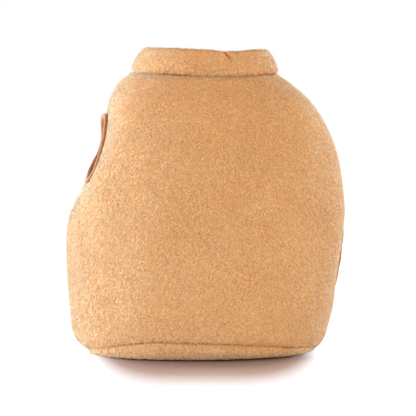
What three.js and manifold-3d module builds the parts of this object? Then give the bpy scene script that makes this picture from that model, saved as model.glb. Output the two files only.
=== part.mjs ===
// Squeaky plush burrow for a dog, in millimetres, +Z up.
// A stuffed fleece pot with a rolled collar round its mouth and a bound hole in each flank.
// The wall is a sandwich of fleece, filling and brown lining. The floor is a stuffed pad,
// and a ribbed squeaker sits in a pocket of that pad, in a pouch under the floor lining.
// The origin is on the floor, under the middle of the pot. -Y is the plain back.
import * as THREE from 'three';
import { mergeVertices } from 'three/addons/utils/BufferGeometryUtils.js';
import Module from 'manifold-3d';

const wasm = await Module();
wasm.setup();

// Form of the pot
const neckHeight = 190;
const leftReach = 96;
const rightReach = 98;
const backReach = 83;
const frontReach = 83;

// Layers of the wall, from the outside in
const fleece = 2.6;
const wallFilling = 10.5;
const neckFilling = 3.6;
const lining = 1.4;
const layerGap = 0.3;

// Seam between the wall and the base, which the filling lifts unevenly
const seamHeightLeft = 3;
const seamHeightRight = 4.5;
const seamHeightBack = 15;
const seamHeightFront = 10;
const seamCreaseDepth = 1.8;
const seamCreaseWidth = 4;

// Neck and rolled collar
const neckDip = 3;
const neckSideTilt = 1;
const collarHeight = 17;
const collarThickness = 14.6;
const collarInset = 5.6;
const collarLean = 3.2;
const collarSeamOpening = 2.4;

// Flank holes and their bound facings
const holeWidth = 41;
const holeHeight = 43;
const facing = 2;
const facingLip = 2.1;
const facingRoll = 1.3;
const lipSeat = 0.5;
const leftHoleBelowNeck = 52;
const leftHole = {
  side: -1,
  height: neckHeight - leftHoleBelowNeck,
  yaw: 4,
  pitch: 18,
  dentLift: 4,
  dentDepth: 15.5,
  dentRadius: 38,
};
const rightHole = {
  side: 1,
  height: 62,
  yaw: -7,
  pitch: -9,
  dentLift: -2,
  dentDepth: 7.5,
  dentRadius: 32,
};

// Stuffed floor pad
const padEdgeHeight = 26;
const padUnderSqueaker = 4;
const pocketMargin = 1.5;

// Squeaker, blown from soft plastic, with ribs in its wall
const squeakerRadius = 25;
const squeakerHeight = 22;
const squeakerWall = 1;
const ribDepth = 3;
const ribCount = 3;
const rimWidth = 4;
const crownThickness = 1;
const crownRise = 0.9;
const pouch = 0.7;
const pouchClearance = 0.8;

// Whistle pressed into the bottom of the squeaker
const barrelRadius = 5;
const barrelWall = 1;
const barrelHeight = 11;
const flangeWidth = 2;
const flangeThickness = 1.2;
const grooveWidth = 2;
const grooveDepth = 1.5;
const reedThickness = 0.25;
const reedWidth = 3.2;
const reedEnd = 0.8;
const clampHeight = 2.6;

// Points closer than this are one point
const weldDistance = 0.001;

const colours = {
  fleece: { color: 0xdca56d, roughness: 0.95, metalness: 0 },
  lining: { color: 0x96613f, roughness: 0.85, metalness: 0 },
  filling: { color: 0xf1eee6, roughness: 1, metalness: 0 },
  pouch: { color: 0xe4e1d8, roughness: 0.9, metalness: 0 },
  squeaker: { color: 0xf2efe4, roughness: 0.4, metalness: 0 },
  whistle: { color: 0xf7f5ef, roughness: 0.3, metalness: 0 },
  reed: { color: 0xd9e2e6, roughness: 0.2, metalness: 0 },
};

// Grid of the soft layers. Neighbouring layers share it, so that their facets stay parallel.
const columnsPerPanel = 16;
const flankCrowdingShare = 0.4;
const wallRows = 12;
const lowRows = 2;
const baseRows = 4;
const padRows = 3;
const sectionSteps = 12;
const holeSteps = 24;
const roundSteps = 20;
const bisections = 40;
const newtonRounds = 12;

// Outline of the pot at its two flanks, its back and its front. Heights are shares of the
// height to the neck seam, and widths are shares of the reach on that side.
const stationHeightShares = [
  0, 0.021, 0.063, 0.137, 0.242, 0.358, 0.474, 0.589, 0.705, 0.811, 0.9, 0.963, 0.99, 1,
];
const leftWidthShares = [
  0.8, 0.885, 0.953, 0.975, 0.992, 1, 0.996, 0.968, 0.925, 0.868, 0.79, 0.672, 0.582, 0.511,
];
const rightWidthShares = [
  0.725, 0.815, 0.855, 0.886, 0.956, 0.994, 1, 0.973, 0.932, 0.853, 0.742, 0.61, 0.54, 0.48,
];
const backWidthShares = [
  0.595, 0.786, 0.887, 0.94, 0.976, 0.995, 1, 0.985, 0.94, 0.857, 0.745, 0.617, 0.55, 0.488,
];
const frontWidthShares = [
  0.62, 0.79, 0.888, 0.94, 0.976, 0.996, 1, 0.983, 0.937, 0.854, 0.742, 0.615, 0.55, 0.49,
];
const leftFullnessShare = 0.18;
const rightFullnessShare = 0.1;
const fullnessEndShare = 0.22;
const neckTaperStartShare = 0.72;
const collarRoundness = 2.7;

// Outline of a facing's rolled lip. Each point has its shares of the facing, of the roll
// beyond the facing, and of the height of the lip.
const lipShares = [
  [0, 0, 0.33],
  [0.35, 0, 0.9],
  [0.8, 0, 1],
  [1, 0.8, 0.8],
  [1, 1, 0.5],
];
const lipFootShare = 0.7;

// Heights of a squeaker rib's points as shares of the pitch, with their shares of the depth
const ribShares = [
  [0.15, 0],
  [0.5, 1],
  [0.85, 0],
];
const domeShares = [1, 0.75, 0];

function outlineCurve(reach, widthShares) {
  const points = widthShares.map(
    (share, i) => new THREE.Vector2(share * reach, stationHeightShares[i] * neckHeight),
  );
  return new THREE.SplineCurve(points);
}

const leftOutline = outlineCurve(leftReach, leftWidthShares);
const rightOutline = outlineCurve(rightReach, rightWidthShares);
const backOutline = outlineCurve(backReach, backWidthShares);
const frontOutline = outlineCurve(frontReach, frontWidthShares);

function smoothStep(from, to, value) {
  return THREE.MathUtils.smoothstep(value, from, to);
}

// Share of the way up the outline at which it reaches a height
function shareAtHeight(height) {
  let low = 0;
  let high = 1;
  for (let i = 0; i < bisections; i += 1) {
    const middle = (low + high) / 2;
    if (leftOutline.getPoint(middle).y < height) low = middle;
    else high = middle;
  }
  return (low + high) / 2;
}

// Point on the plump pot before seams and holes pull it in. Turn runs anticlockwise from +X.
// Near the floor the corners between the flanks and the faces are fuller than an ellipse.
function plumpPoint(turn, rise) {
  const across = Math.cos(turn);
  const deep = Math.sin(turn);
  const flank = (across < 0 ? leftOutline : rightOutline).getPoint(rise);
  const face = (deep < 0 ? backOutline : frontOutline).getPoint(rise);
  const fullness = across < 0 ? leftFullnessShare : rightFullnessShare;
  const low = 1 - smoothStep(0, fullnessEndShare, rise);
  const corner = 1 + fullness * low * Math.sin(2 * turn) ** 2;
  return new THREE.Vector3(flank.x * across * corner, face.x * deep * corner, flank.y);
}

function plumpNormal(turn, rise) {
  const step = 1e-3;
  const low = Math.max(0, rise - step);
  const high = Math.min(1, rise + step);
  const round = plumpPoint(turn + step, rise).sub(plumpPoint(turn - step, rise));
  const up = plumpPoint(turn, high).sub(plumpPoint(turn, low));
  return round.cross(up).normalize();
}

function seamHeight(turn) {
  const across = Math.cos(turn);
  const deep = Math.sin(turn);
  const flank = across < 0 ? seamHeightLeft : seamHeightRight;
  const face = deep < 0 ? seamHeightBack : seamHeightFront;
  return flank * across ** 2 + face * deep ** 2;
}

// Drop of the neck: it sags at the back and leans a little to the right
function neckDrop(turn) {
  const sag = neckDip * Math.max(0, -Math.sin(turn)) ** 2;
  return sag + neckSideTilt * Math.cos(turn);
}

// Direction and cross-section axes of a flank hole, and the middle of the dent it makes
function holeFrame({ side, height, dentLift, yaw, pitch }) {
  const turn = THREE.MathUtils.degToRad(yaw);
  const tip = THREE.MathUtils.degToRad(pitch);
  const level = new THREE.Vector3(side * Math.cos(turn), -Math.sin(turn), 0);
  const out = level.clone().multiplyScalar(Math.cos(tip));
  out.z = Math.sin(tip);
  const along = new THREE.Vector3(0, 0, 1).cross(level).normalize();
  const up = out.clone().cross(along).normalize();
  const dentCentre = level.clone().multiplyScalar(side < 0 ? leftReach : rightReach);
  dentCentre.z = height + dentLift;
  return { level, out, along, up, dentCentre };
}

const holes = [leftHole, rightHole].map((hole) => ({ ...hole, ...holeFrame(hole) }));

// How far the bound holes draw the whole wall inwards at a point
function holePull(point) {
  const pull = new THREE.Vector3();
  for (const { level, dentCentre, dentDepth, dentRadius } of holes) {
    if (point.dot(level) <= 0) continue;
    const offset = point.clone().sub(dentCentre);
    offset.addScaledVector(level, -offset.dot(level));
    const share = Math.exp(-((offset.length() / dentRadius) ** 3));
    pull.addScaledVector(level, -dentDepth * share);
  }
  return pull;
}

// Point of the wall at a depth below its outer face
function wallPoint(turn, rise, depth) {
  const plump = plumpPoint(turn, rise);
  const normal = plumpNormal(turn, rise);
  const fromSeam = (plump.z - seamHeight(turn)) / seamCreaseWidth;
  const crease = seamCreaseDepth * Math.exp(-(fromSeam ** 2));
  const point = plump.clone().addScaledVector(normal, -depth - crease);
  point.add(holePull(plump));
  point.z -= neckDrop(turn) * smoothStep(neckTaperStartShare, 1, rise);
  return point;
}

// Depths of the faces of each layer
const fillingDepth = fleece + layerGap;
const fillingThickness = (rise) =>
  wallFilling + (neckFilling - wallFilling) * smoothStep(neckTaperStartShare, 1, rise);
const fillingBackDepth = (rise) => fillingDepth + fillingThickness(rise);
const liningDepth = (rise) => fillingBackDepth(rise) + layerGap;
const liningBackDepth = (rise) => liningDepth(rise) + lining;

// Where the hole's axis meets the dented wall
for (const hole of holes) {
  const turn = Math.atan2(hole.level.y, hole.level.x);
  hole.centre = wallPoint(turn, shareAtHeight(hole.height), 0);
}

// Share of a half turn that each column stands at: they crowd towards the side seams
const columnShares = Array.from({ length: columnsPerPanel + 1 }, (_, i) => {
  const even = i / columnsPerPanel;
  return even - (flankCrowdingShare * Math.sin(2 * Math.PI * even)) / (2 * Math.PI);
});

function panelColumns(from, to) {
  const inset = layerGap / 2 / leftReach;
  return columnShares.map((share) => from + inset + (to - from - 2 * inset) * share);
}

function ringColumns() {
  const half = columnShares.slice(0, -1).map((share) => Math.PI * share);
  return [...half, ...half.map((turn) => turn + Math.PI)];
}

function steps(from, to, count) {
  return Array.from({ length: count + 1 }, (_, i) => from + ((to - from) * i) / count);
}

// Closed surface through loops of points, each of which runs up one face and back down the
// other. Every quad splits from its lower corner on one loop to the upper one on the next, so
// that neighbouring layers stay parallel. Open rows of loops get a cap at each end.
function loft(loops, ring) {
  const count = loops[0].length;
  const positions = loops.flat().flatMap((p) => [p.x, p.y, p.z]);
  const index = [];
  const quad = (a, b, c, d) => index.push(a, b, c, a, c, d);
  const last = ring ? loops.length : loops.length - 1;
  for (let i = 0; i < last; i += 1) {
    const here = i * count;
    const next = ((i + 1) % loops.length) * count;
    for (let j = 0; j < count; j += 1) {
      const k = (j + 1) % count;
      if (loops[i][j].z <= loops[i][k].z) quad(here + j, next + j, next + k, here + k);
      else quad(next + j, next + k, here + k, here + j);
    }
  }
  if (!ring) {
    const end = (loops.length - 1) * count;
    for (let j = 0; j < count / 2 - 1; j += 1) {
      const back = count - 1 - j;
      quad(j, j + 1, back - 1, back);
      quad(end + j, end + back, end + back - 1, end + j + 1);
    }
  }
  const geometry = new THREE.BufferGeometry();
  geometry.setAttribute('position', new THREE.Float32BufferAttribute(positions, 3));
  geometry.setIndex(index);
  return geometry;
}

// Closed geometry to a solid that can be cut and joined
function solid(geometry) {
  const bare = new THREE.BufferGeometry();
  bare.setAttribute('position', geometry.getAttribute('position').clone());
  bare.setIndex(geometry.getIndex());
  const merged = mergeVertices(bare, weldDistance);
  const faces = [];
  const index = merged.getIndex().array;
  for (let i = 0; i < index.length; i += 3) {
    const [a, b, c] = index.subarray(i, i + 3);
    if (a !== b && b !== c && c !== a) faces.push(a, b, c);
  }
  return new wasm.Manifold(
    new wasm.Mesh({
      numProp: 3,
      vertProperties: merged.getAttribute('position').array,
      triVerts: new Uint32Array(faces),
    }),
  );
}

function named(name, shape, look) {
  const mesh = shape.getMesh();
  const geometry = new THREE.BufferGeometry();
  geometry.setAttribute('position', new THREE.BufferAttribute(mesh.vertProperties, 3));
  geometry.setIndex(new THREE.BufferAttribute(mesh.triVerts, 1));
  geometry.computeVertexNormals();
  const made = new THREE.Mesh(geometry, new THREE.MeshStandardMaterial(look));
  made.name = name;
  return made;
}

// Solid of revolution about the vertical axis, from points of radius and height
function revolved(points) {
  const profile = points.map(([radius, height]) => new THREE.Vector2(radius, height));
  const lathe = new THREE.LatheGeometry(profile, roundSteps);
  lathe.rotateX(Math.PI / 2);
  return solid(lathe);
}

// A layer of the wall between two depths, over a run of columns and rows
function wallLayer(columns, rowsAt, outerDepth, innerDepth) {
  const loops = columns.map((turn) => {
    const rows = rowsAt(turn);
    const outside = rows.map((rise) => wallPoint(turn, rise, outerDepth(rise)));
    const inside = rows.map((rise) => wallPoint(turn, rise, innerDepth(rise))).reverse();
    return [...outside, ...inside];
  });
  return solid(loft(loops, false));
}

const padRise = shareAtHeight(padEdgeHeight);
const padTopRise = shareAtHeight(padEdgeHeight - layerGap);
const wallRise = steps(padRise, 1, wallRows);
const lowRise = (turn) => steps(shareAtHeight(seamHeight(turn) + layerGap / 2), padRise, lowRows);
const panelRise = (turn) => [...lowRise(turn).slice(0, -1), ...wallRise];
const baseRise = (turn) => steps(0, shareAtHeight(seamHeight(turn) - layerGap / 2), baseRows);

// Oval bar along a hole's axis that cuts the layers clear of the hole's facing. An ellipse is
// drawn with two segments for each one asked for, and so gets as many as the facing has.
function holeCutter({ along, up, out, centre }) {
  const margin = facing + layerGap;
  const oval = new THREE.Shape();
  oval.absellipse(0, 0, holeWidth / 2 + margin, holeHeight / 2 + margin, 0, Math.PI * 2);
  const bar = new THREE.ExtrudeGeometry(oval, {
    depth: leftReach,
    bevelEnabled: false,
    curveSegments: holeSteps / 2,
  });
  bar.translate(0, 0, -leftReach / 2);
  bar.applyMatrix4(new THREE.Matrix4().makeBasis(along, up, out));
  bar.translate(centre.x, centre.y, centre.z);
  return solid(bar);
}

const cutters = holes.map(holeCutter);

function cutHoles(shape) {
  return cutters.reduce((left, cutter) => left.subtract(cutter), shape);
}

function sidePanel(name, from, to) {
  const shape = wallLayer(panelColumns(from, to), panelRise, () => 0, () => fleece);
  return named(name, cutHoles(shape), colours.fleece);
}

function sideFilling(name, from, to) {
  const shape = wallLayer(panelColumns(from, to), () => wallRise, () => fillingDepth, fillingBackDepth);
  return named(name, cutHoles(shape), colours.filling);
}

function sideLining(name, from, to) {
  const shape = wallLayer(panelColumns(from, to), () => wallRise, liningDepth, liningBackDepth);
  return named(name, cutHoles(shape), colours.lining);
}

// Base of the pot: a flat middle whose rim turns up to meet the wall panels
function basePanel() {
  const loops = ringColumns().map((turn) => {
    const rows = baseRise(turn);
    const outside = rows.map((rise) => wallPoint(turn, rise, 0));
    const inside = rows.map((rise) => wallPoint(turn, rise, fleece)).reverse();
    outside[0].z = 0;
    const inner = inside[inside.length - 1];
    inner.z = fleece;
    return [new THREE.Vector3(), ...outside, ...inside, new THREE.Vector3(0, 0, fleece)];
  });
  return named('base_panel', solid(loft(loops, true)), colours.fleece);
}

// Heights of the stack in the floor pad, from the bottom up
const pocketFloor = fillingDepth + padUnderSqueaker;
const pouchFloor = pocketFloor + layerGap;
const squeakerFloor = pouchFloor + pouch + layerGap;

// Heights above the squeaker's own floor
const crownFloor = squeakerHeight + layerGap;
const lidFloor = crownFloor + crownThickness + layerGap;

const lidTop = squeakerFloor + lidFloor + crownRise + pouch;
const cupRadius = squeakerRadius + pouchClearance;
const pocketRadius = cupRadius + pouch + layerGap;
const levelRadius = pocketRadius + pocketMargin;

// Points of the pad's crowned top in one column, from the wall to the level middle
function padTopPoints(turn, depth, lift) {
  const edge = wallPoint(turn, padTopRise, liningBackDepth(padTopRise));
  const start = wallPoint(turn, padTopRise, depth);
  const full = Math.hypot(edge.x, edge.y);
  const from = Math.hypot(start.x, start.y);
  return steps(from, levelRadius, padRows).map((radius) => {
    const share = smoothStep(0, 1, (full - radius) / (full - levelRadius));
    const height = edge.z + (lidTop - edge.z) * share + lift;
    return new THREE.Vector3((edge.x / full) * radius, (edge.y / full) * radius, height);
  });
}

function floorPad() {
  const loops = ringColumns().map((turn) => {
    const rows = [...baseRise(turn), ...lowRise(turn).slice(0, -1), padTopRise];
    const side = rows.map((rise) => wallPoint(turn, rise, fillingDepth));
    side[0].z = fillingDepth;
    const top = padTopPoints(turn, liningBackDepth(padTopRise), 0);
    return [new THREE.Vector3(0, 0, fillingDepth), ...side, ...top, new THREE.Vector3(0, 0, lidTop)];
  });
  const pocket = revolved([
    [0, pocketFloor],
    [pocketRadius, pocketFloor],
    [pocketRadius, lidTop + lining],
    [0, lidTop + lining],
  ]);
  return named('floor_pad', solid(loft(loops, true)).subtract(pocket), colours.filling);
}

function floorLining() {
  const depth = liningBackDepth(padTopRise) + layerGap;
  const loops = ringColumns().map((turn) => {
    const under = padTopPoints(turn, depth, layerGap).reverse();
    const over = padTopPoints(turn, depth, layerGap + lining);
    const middle = lidTop + layerGap;
    return [
      new THREE.Vector3(0, 0, middle),
      ...under,
      ...over,
      new THREE.Vector3(0, 0, middle + lining),
    ];
  });
  return named('floor_lining', solid(loft(loops, true)), colours.lining);
}

// Section of the collar's roll at one column, drawn in by a margin all round. It runs from one
// edge of the seam opening under the roll, out and over the top, to the other edge.
function collarSection(turn, margin) {
  const opening = collarSeamOpening / collarThickness;
  const angles = steps(opening - Math.PI / 2, Math.PI * 1.5 - opening, sectionSteps);
  const outward = plumpNormal(turn, 1).setZ(0).normalize();
  const halfHeight = collarHeight / 2;
  const middle = wallPoint(turn, 1, 0).addScaledVector(outward, -collarInset);
  middle.z += layerGap + halfHeight;
  const power = 2 / collarRoundness;
  return angles.map((angle) => {
    const across = Math.sign(Math.cos(angle)) * Math.abs(Math.cos(angle)) ** power;
    const rise = Math.sign(Math.sin(angle)) * Math.abs(Math.sin(angle)) ** power;
    const lean = -collarLean * rise;
    const point = middle.clone();
    point.addScaledVector(outward, (collarThickness / 2 - margin) * across + lean);
    point.z += (halfHeight - margin) * rise;
    return point;
  });
}

function collarCover() {
  const loops = ringColumns().map((turn) => [
    ...collarSection(turn, 0),
    ...collarSection(turn, fleece).reverse(),
  ]);
  return named('collar_cover', solid(loft(loops, true)), colours.fleece);
}

function collarFilling() {
  const loops = ringColumns().map((turn) => collarSection(turn, fillingDepth));
  return named('collar_filling', solid(loft(loops, true)), colours.filling);
}

// Turn and rise at which the wall, at a depth, crosses a line along the hole's axis
function wallCrossing(hole, across, up, depth, guess) {
  const miss = (turn, rise) => {
    const offset = wallPoint(turn, rise, depth(rise)).sub(hole.centre);
    return [offset.dot(hole.along) - across, offset.dot(hole.up) - up];
  };
  let [turn, rise] = guess;
  const step = 1e-4;
  for (let i = 0; i < newtonRounds; i += 1) {
    const [a, b] = miss(turn, rise);
    const [aTurn, bTurn] = miss(turn + step, rise);
    const [aRise, bRise] = miss(turn, rise + step);
    const m = [(aTurn - a) / step, (aRise - a) / step, (bTurn - b) / step, (bRise - b) / step];
    const scale = m[0] * m[3] - m[1] * m[2];
    turn -= (m[3] * a - m[1] * b) / scale;
    rise -= (m[0] * b - m[2] * a) / scale;
  }
  return [turn, rise];
}

// Bound facing of a hole: a sleeve through the wall whose lip rolls over the fleece
function holeFacing(name, hole) {
  const inEnd = (rise) => liningBackDepth(rise) + facingLip / 2;
  const middle = (rise) => liningBackDepth(rise) / 2;
  const level = (depth) => () => depth;
  const lip = lipShares.map(([inFacing, inRoll, inHeight]) => [
    facing * inFacing + facingRoll * inRoll,
    level(-facingLip * inHeight),
  ]);
  const outline = [
    [0, inEnd],
    [0, middle],
    ...lip,
    [facing + facingRoll * lipFootShare, level(-lipSeat)],
    [facing, level(-lipSeat)],
    [facing, middle],
    [facing, inEnd],
  ];
  const start = [Math.atan2(hole.level.y, hole.level.x), shareAtHeight(hole.height)];
  const loops = Array.from({ length: holeSteps }, (_, i) => {
    const angle = (-2 * Math.PI * i) / holeSteps;
    return outline.map(([margin, depth]) => {
      const across = (holeWidth / 2 + margin) * Math.cos(angle);
      const up = (holeHeight / 2 + margin) * Math.sin(angle);
      const [turn, rise] = wallCrossing(hole, across, up, depth, start);
      return wallPoint(turn, rise, depth(rise));
    });
  });
  return named(name, solid(loft(loops, true)), colours.lining);
}

// Lower pouch disc, which bulges into a cup round the squeaker. It stands on its own floor.
function pouchCup() {
  const top = pouch + lidFloor;
  return named('pouch_cup', revolved([
    [0, 0],
    [cupRadius + pouch, 0],
    [cupRadius + pouch, top],
    [cupRadius, top],
    [cupRadius, pouch],
    [0, pouch],
  ]), colours.pouch);
}

// Domed disc of one thickness: the squeaker's crown, and the pouch lid that lies over it
function domedDisc(floor, thickness) {
  const dome = domeShares.map((share, i) => [(squeakerRadius * i) / 2, crownRise * share]);
  const under = dome.map(([radius, rise]) => [radius, floor + rise]);
  const over = dome.map(([radius, rise]) => [radius, floor + thickness + rise]);
  return revolved([...under, ...over.reverse()]);
}

function pouchLid() {
  return named('pouch_lid', domedDisc(lidFloor, pouch), colours.pouch);
}

function squeakerCrown() {
  return named('squeaker_crown', domedDisc(crownFloor, crownThickness), colours.squeaker);
}

// Ribbed wall and bottom of the squeaker, open at the top and at the whistle's neck
function squeakerBellows() {
  const neck = barrelRadius + layerGap;
  const pitch = (squeakerHeight - 2 * squeakerWall) / ribCount;
  const within = squeakerRadius - squeakerWall;
  const outer = [[neck, 0], [squeakerRadius, 0]];
  const inner = [[neck, squeakerWall], [within, squeakerWall]];
  for (let rib = 0; rib < ribCount; rib += 1) {
    const foot = squeakerWall + pitch * rib;
    ribShares.forEach(([up, inward]) => {
      outer.push([squeakerRadius - ribDepth * inward, foot + pitch * up]);
      inner.push([within - ribDepth * inward, foot + pitch * up]);
    });
  }
  outer.push([squeakerRadius, squeakerHeight], [squeakerRadius - rimWidth, squeakerHeight]);
  inner.push([within, squeakerHeight - squeakerWall]);
  inner.push([squeakerRadius - rimWidth, squeakerHeight - squeakerWall]);
  return named('squeaker_bellows', revolved([...outer, ...inner.reverse(), outer[0]]), colours.squeaker);
}

const barrelBore = barrelRadius - barrelWall;
const flangeFloor = squeakerWall + layerGap;
const clampTop = reedEnd + clampHeight;

// Upright block between two corners
function block(low, high) {
  const size = new THREE.Vector3().subVectors(high, low);
  const box = new THREE.BoxGeometry(size.x, size.y, size.z);
  box.translate((low.x + high.x) / 2, (low.y + high.y) / 2, (low.z + high.z) / 2);
  return solid(box);
}

// Barrel with a flange inside the squeaker, and a rib in its bore that clamps the reed's foot
function whistleBarrel() {
  const tube = revolved([
    [barrelBore, 0],
    [barrelRadius, 0],
    [barrelRadius, flangeFloor],
    [barrelRadius + flangeWidth, flangeFloor],
    [barrelRadius + flangeWidth, flangeFloor + flangeThickness],
    [barrelRadius, flangeFloor + flangeThickness],
    [barrelRadius, barrelHeight],
    [barrelBore, barrelHeight],
    [barrelBore, 0],
  ]);
  const clamp = block(
    new THREE.Vector3(reedThickness + layerGap, -reedWidth / 2, 0),
    new THREE.Vector3(barrelBore + barrelWall / 2, reedWidth / 2, clampTop),
  );
  return named('whistle_barrel', tube.add(clamp), colours.whistle);
}

// Half-round plug with the air groove that the reed beats on
function whistlePlug() {
  const radius = barrelBore - layerGap;
  const top = barrelHeight - reedEnd / 2;
  const round = revolved([[0, reedEnd / 2], [radius, reedEnd / 2], [radius, top], [0, top]]);
  const open = block(
    new THREE.Vector3(-layerGap, -barrelRadius, -barrelWall),
    new THREE.Vector3(barrelRadius, barrelRadius, barrelHeight + barrelWall),
  );
  const groove = block(
    new THREE.Vector3(-layerGap - grooveDepth, -grooveWidth / 2, clampTop),
    new THREE.Vector3(0, grooveWidth / 2, barrelHeight + barrelWall),
  );
  return named('whistle_plug', round.subtract(open).subtract(groove), colours.whistle);
}

function whistleReed() {
  return named('whistle_reed', block(
    new THREE.Vector3(0, -reedWidth / 2, reedEnd),
    new THREE.Vector3(reedThickness, reedWidth / 2, barrelHeight - reedEnd),
  ), colours.reed);
}

const squeaker = new THREE.Group();
squeaker.position.z = squeakerFloor;
squeaker.add(
  squeakerBellows(),
  squeakerCrown(),
  whistleBarrel(),
  whistlePlug(),
  whistleReed(),
  pouchLid(),
);

const cup = pouchCup();
cup.position.z = pouchFloor;

const toy = new THREE.Group();
toy.add(
  sidePanel('back_panel', Math.PI, Math.PI * 2),
  sidePanel('front_panel', 0, Math.PI),
  basePanel(),
  collarCover(),
  collarFilling(),
  sideFilling('back_filling', Math.PI, Math.PI * 2),
  sideFilling('front_filling', 0, Math.PI),
  floorPad(),
  sideLining('back_lining', Math.PI, Math.PI * 2),
  sideLining('front_lining', 0, Math.PI),
  floorLining(),
  holeFacing('left_hole_facing', holes[0]),
  holeFacing('right_hole_facing', holes[1]),
  cup,
  squeaker,
);

export default toy;
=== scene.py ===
# %% [markdown]
# This lesson dresses a stuffed burrow toy for dogs. The pot is sewn from short-pile fleece,
# stuffed, lined with brown suede cloth and closed by a rolled collar. A squeaker lies in its
# floor. The construction already gives every piece its place. What is left is the cloth: its
# pile, seams, creases and colours, and the light that shows them.

# %% Load the construction
import math

import bpy
import numpy as np
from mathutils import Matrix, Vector, noise


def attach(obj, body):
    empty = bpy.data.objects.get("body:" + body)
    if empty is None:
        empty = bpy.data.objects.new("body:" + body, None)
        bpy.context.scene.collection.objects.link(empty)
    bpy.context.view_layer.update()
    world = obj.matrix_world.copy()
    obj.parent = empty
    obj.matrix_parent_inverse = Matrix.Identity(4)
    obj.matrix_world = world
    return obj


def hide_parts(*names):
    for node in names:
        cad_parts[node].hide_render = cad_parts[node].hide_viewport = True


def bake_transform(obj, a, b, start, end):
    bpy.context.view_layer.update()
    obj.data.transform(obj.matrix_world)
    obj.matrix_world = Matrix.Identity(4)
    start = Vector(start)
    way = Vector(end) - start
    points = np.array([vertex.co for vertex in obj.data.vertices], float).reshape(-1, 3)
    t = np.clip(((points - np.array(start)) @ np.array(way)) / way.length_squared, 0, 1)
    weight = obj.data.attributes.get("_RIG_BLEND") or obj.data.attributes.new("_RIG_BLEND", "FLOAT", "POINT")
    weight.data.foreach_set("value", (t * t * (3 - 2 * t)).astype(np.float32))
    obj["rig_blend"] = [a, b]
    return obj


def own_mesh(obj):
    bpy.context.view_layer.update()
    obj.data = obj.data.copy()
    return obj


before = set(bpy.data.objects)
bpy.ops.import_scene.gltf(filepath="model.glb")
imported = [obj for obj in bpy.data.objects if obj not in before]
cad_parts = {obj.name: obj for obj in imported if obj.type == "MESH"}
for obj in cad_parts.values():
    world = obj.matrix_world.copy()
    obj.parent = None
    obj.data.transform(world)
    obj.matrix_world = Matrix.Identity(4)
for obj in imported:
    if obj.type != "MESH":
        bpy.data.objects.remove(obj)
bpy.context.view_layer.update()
bpy.ops.object.select_all(action="DESELECT")

# %% [markdown]
# The photograph was taken from behind the toy, with a long lens a little above its mouth. A
# camera could be placed by eye, but the toy's size and its pixels give the distance and lens,
# so those numbers are used and the toy fills the same part of the picture.

# %% Camera
EYE = Vector((0.00207, -1.25, 0.170))
AIM = Vector((0.00207, 0.0, 0.0973))
SENSOR_WIDTH, LENS = 36, 156.8

bpy.ops.object.camera_add(location=EYE)
camera = bpy.context.object
camera.name = "camera"
camera.rotation_euler = (AIM - EYE).to_track_quat("-Z", "Y").to_euler()
camera.data.sensor_width = SENSOR_WIDTH
camera.data.lens = LENS
bpy.context.scene.camera = camera
tilt = math.asin((EYE.z - AIM.z) / (EYE - AIM).length)
print("camera looks", round(math.degrees(tilt), 1), "degrees down")

# %% [markdown]
# A studio sweep is white paper under large softboxes. Here the key stands on the left, level
# with the toy, and a weaker, higher box on the right opens the other flank. Two boxes behind
# the camera light the face, and the low one of them reaches down to the base and only grazes
# the paper. Two boxes behind the toy shine through the ends of its pile, which together with
# the pale tones painted on the standing wisps gives the photograph's pale soft rim. A warm one
# hangs over the mouth.

# %% Softboxes
TOY_MIDDLE = Vector((0.0, 0.0, 0.1))


def softbox(name, place, size, watts, colour):
    bpy.ops.object.light_add(type="AREA", location=place)
    lamp = bpy.context.object
    towards = TOY_MIDDLE - Vector(place)
    lamp.name = name
    lamp.rotation_euler = towards.to_track_quat("-Z", "Y").to_euler()
    lamp.data.shape = "SQUARE"
    lamp.data.size = size
    lamp.data.energy = watts
    lamp.data.color = colour
    print(name, "stands", round(towards.length, 2), "m away")


softbox("key_left", (-1.45, -0.1, 0.36), 0.8, 29.0, (0.8, 1.0, 1.2))
softbox("front_low", (0.25, -2.2, 0.3), 0.9, 9.2, (0.98, 1.0, 1.06))
softbox("front_high", (0.4, -1.5, 1.3), 0.9, 15.0, (0.98, 0.98, 0.96))
softbox("fill_right", (1.3, -0.35, 0.85), 0.8, 6.5, (0.94, 1.0, 1.02))
softbox("rim_left", (-1.2, 0.6, 0.4), 0.6, 28.0, (0.85, 0.95, 1.15))
softbox("rim_right", (1.1, 0.75, 0.4), 0.6, 16.0, (1.0, 0.95, 0.97))
softbox("overhead", (0.25, -0.1, 1.6), 0.9, 16.0, (1.0, 0.87, 0.72))

# %% [markdown]
# The world has to look white to the camera, and must not light the toy as strongly as that.
# So it is plain white to what is seen directly, and a softer warm grey to all that it lights.

# %% World
AMBIENT, AMBIENT_COLOUR = 0.36, (1.0, 0.85, 0.65, 1.0)


def fed(tree, node, sockets):
    """Gives the sockets of a node, or of a new one of that kind, numbers or other outputs."""
    if isinstance(node, str):
        node = tree.nodes.new("ShaderNode" + node)
    for name, value in sockets.items():
        if hasattr(value, "is_output"):
            tree.links.new(value, node.inputs[name])
        else:
            node.inputs[name].default_value = value
    return node


def reckoned(tree, kind, *values, clamp=False):
    """A Math node over numbers and the outputs of other nodes."""
    made = tree.nodes.new("ShaderNodeMath")
    made.operation = kind
    made.use_clamp = clamp
    return fed(tree, made, dict(enumerate(values))).outputs[0]


def seen_directly(tree):
    """1 for what the camera, a mirror or glass sees, 0 for the light on a surface."""
    path = tree.nodes.new("ShaderNodeLightPath").outputs
    seen = reckoned(tree, "ADD", path["Is Camera Ray"], path["Is Glossy Ray"], clamp=True)
    return reckoned(tree, "ADD", seen, path["Is Transmission Ray"], clamp=True)


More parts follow.
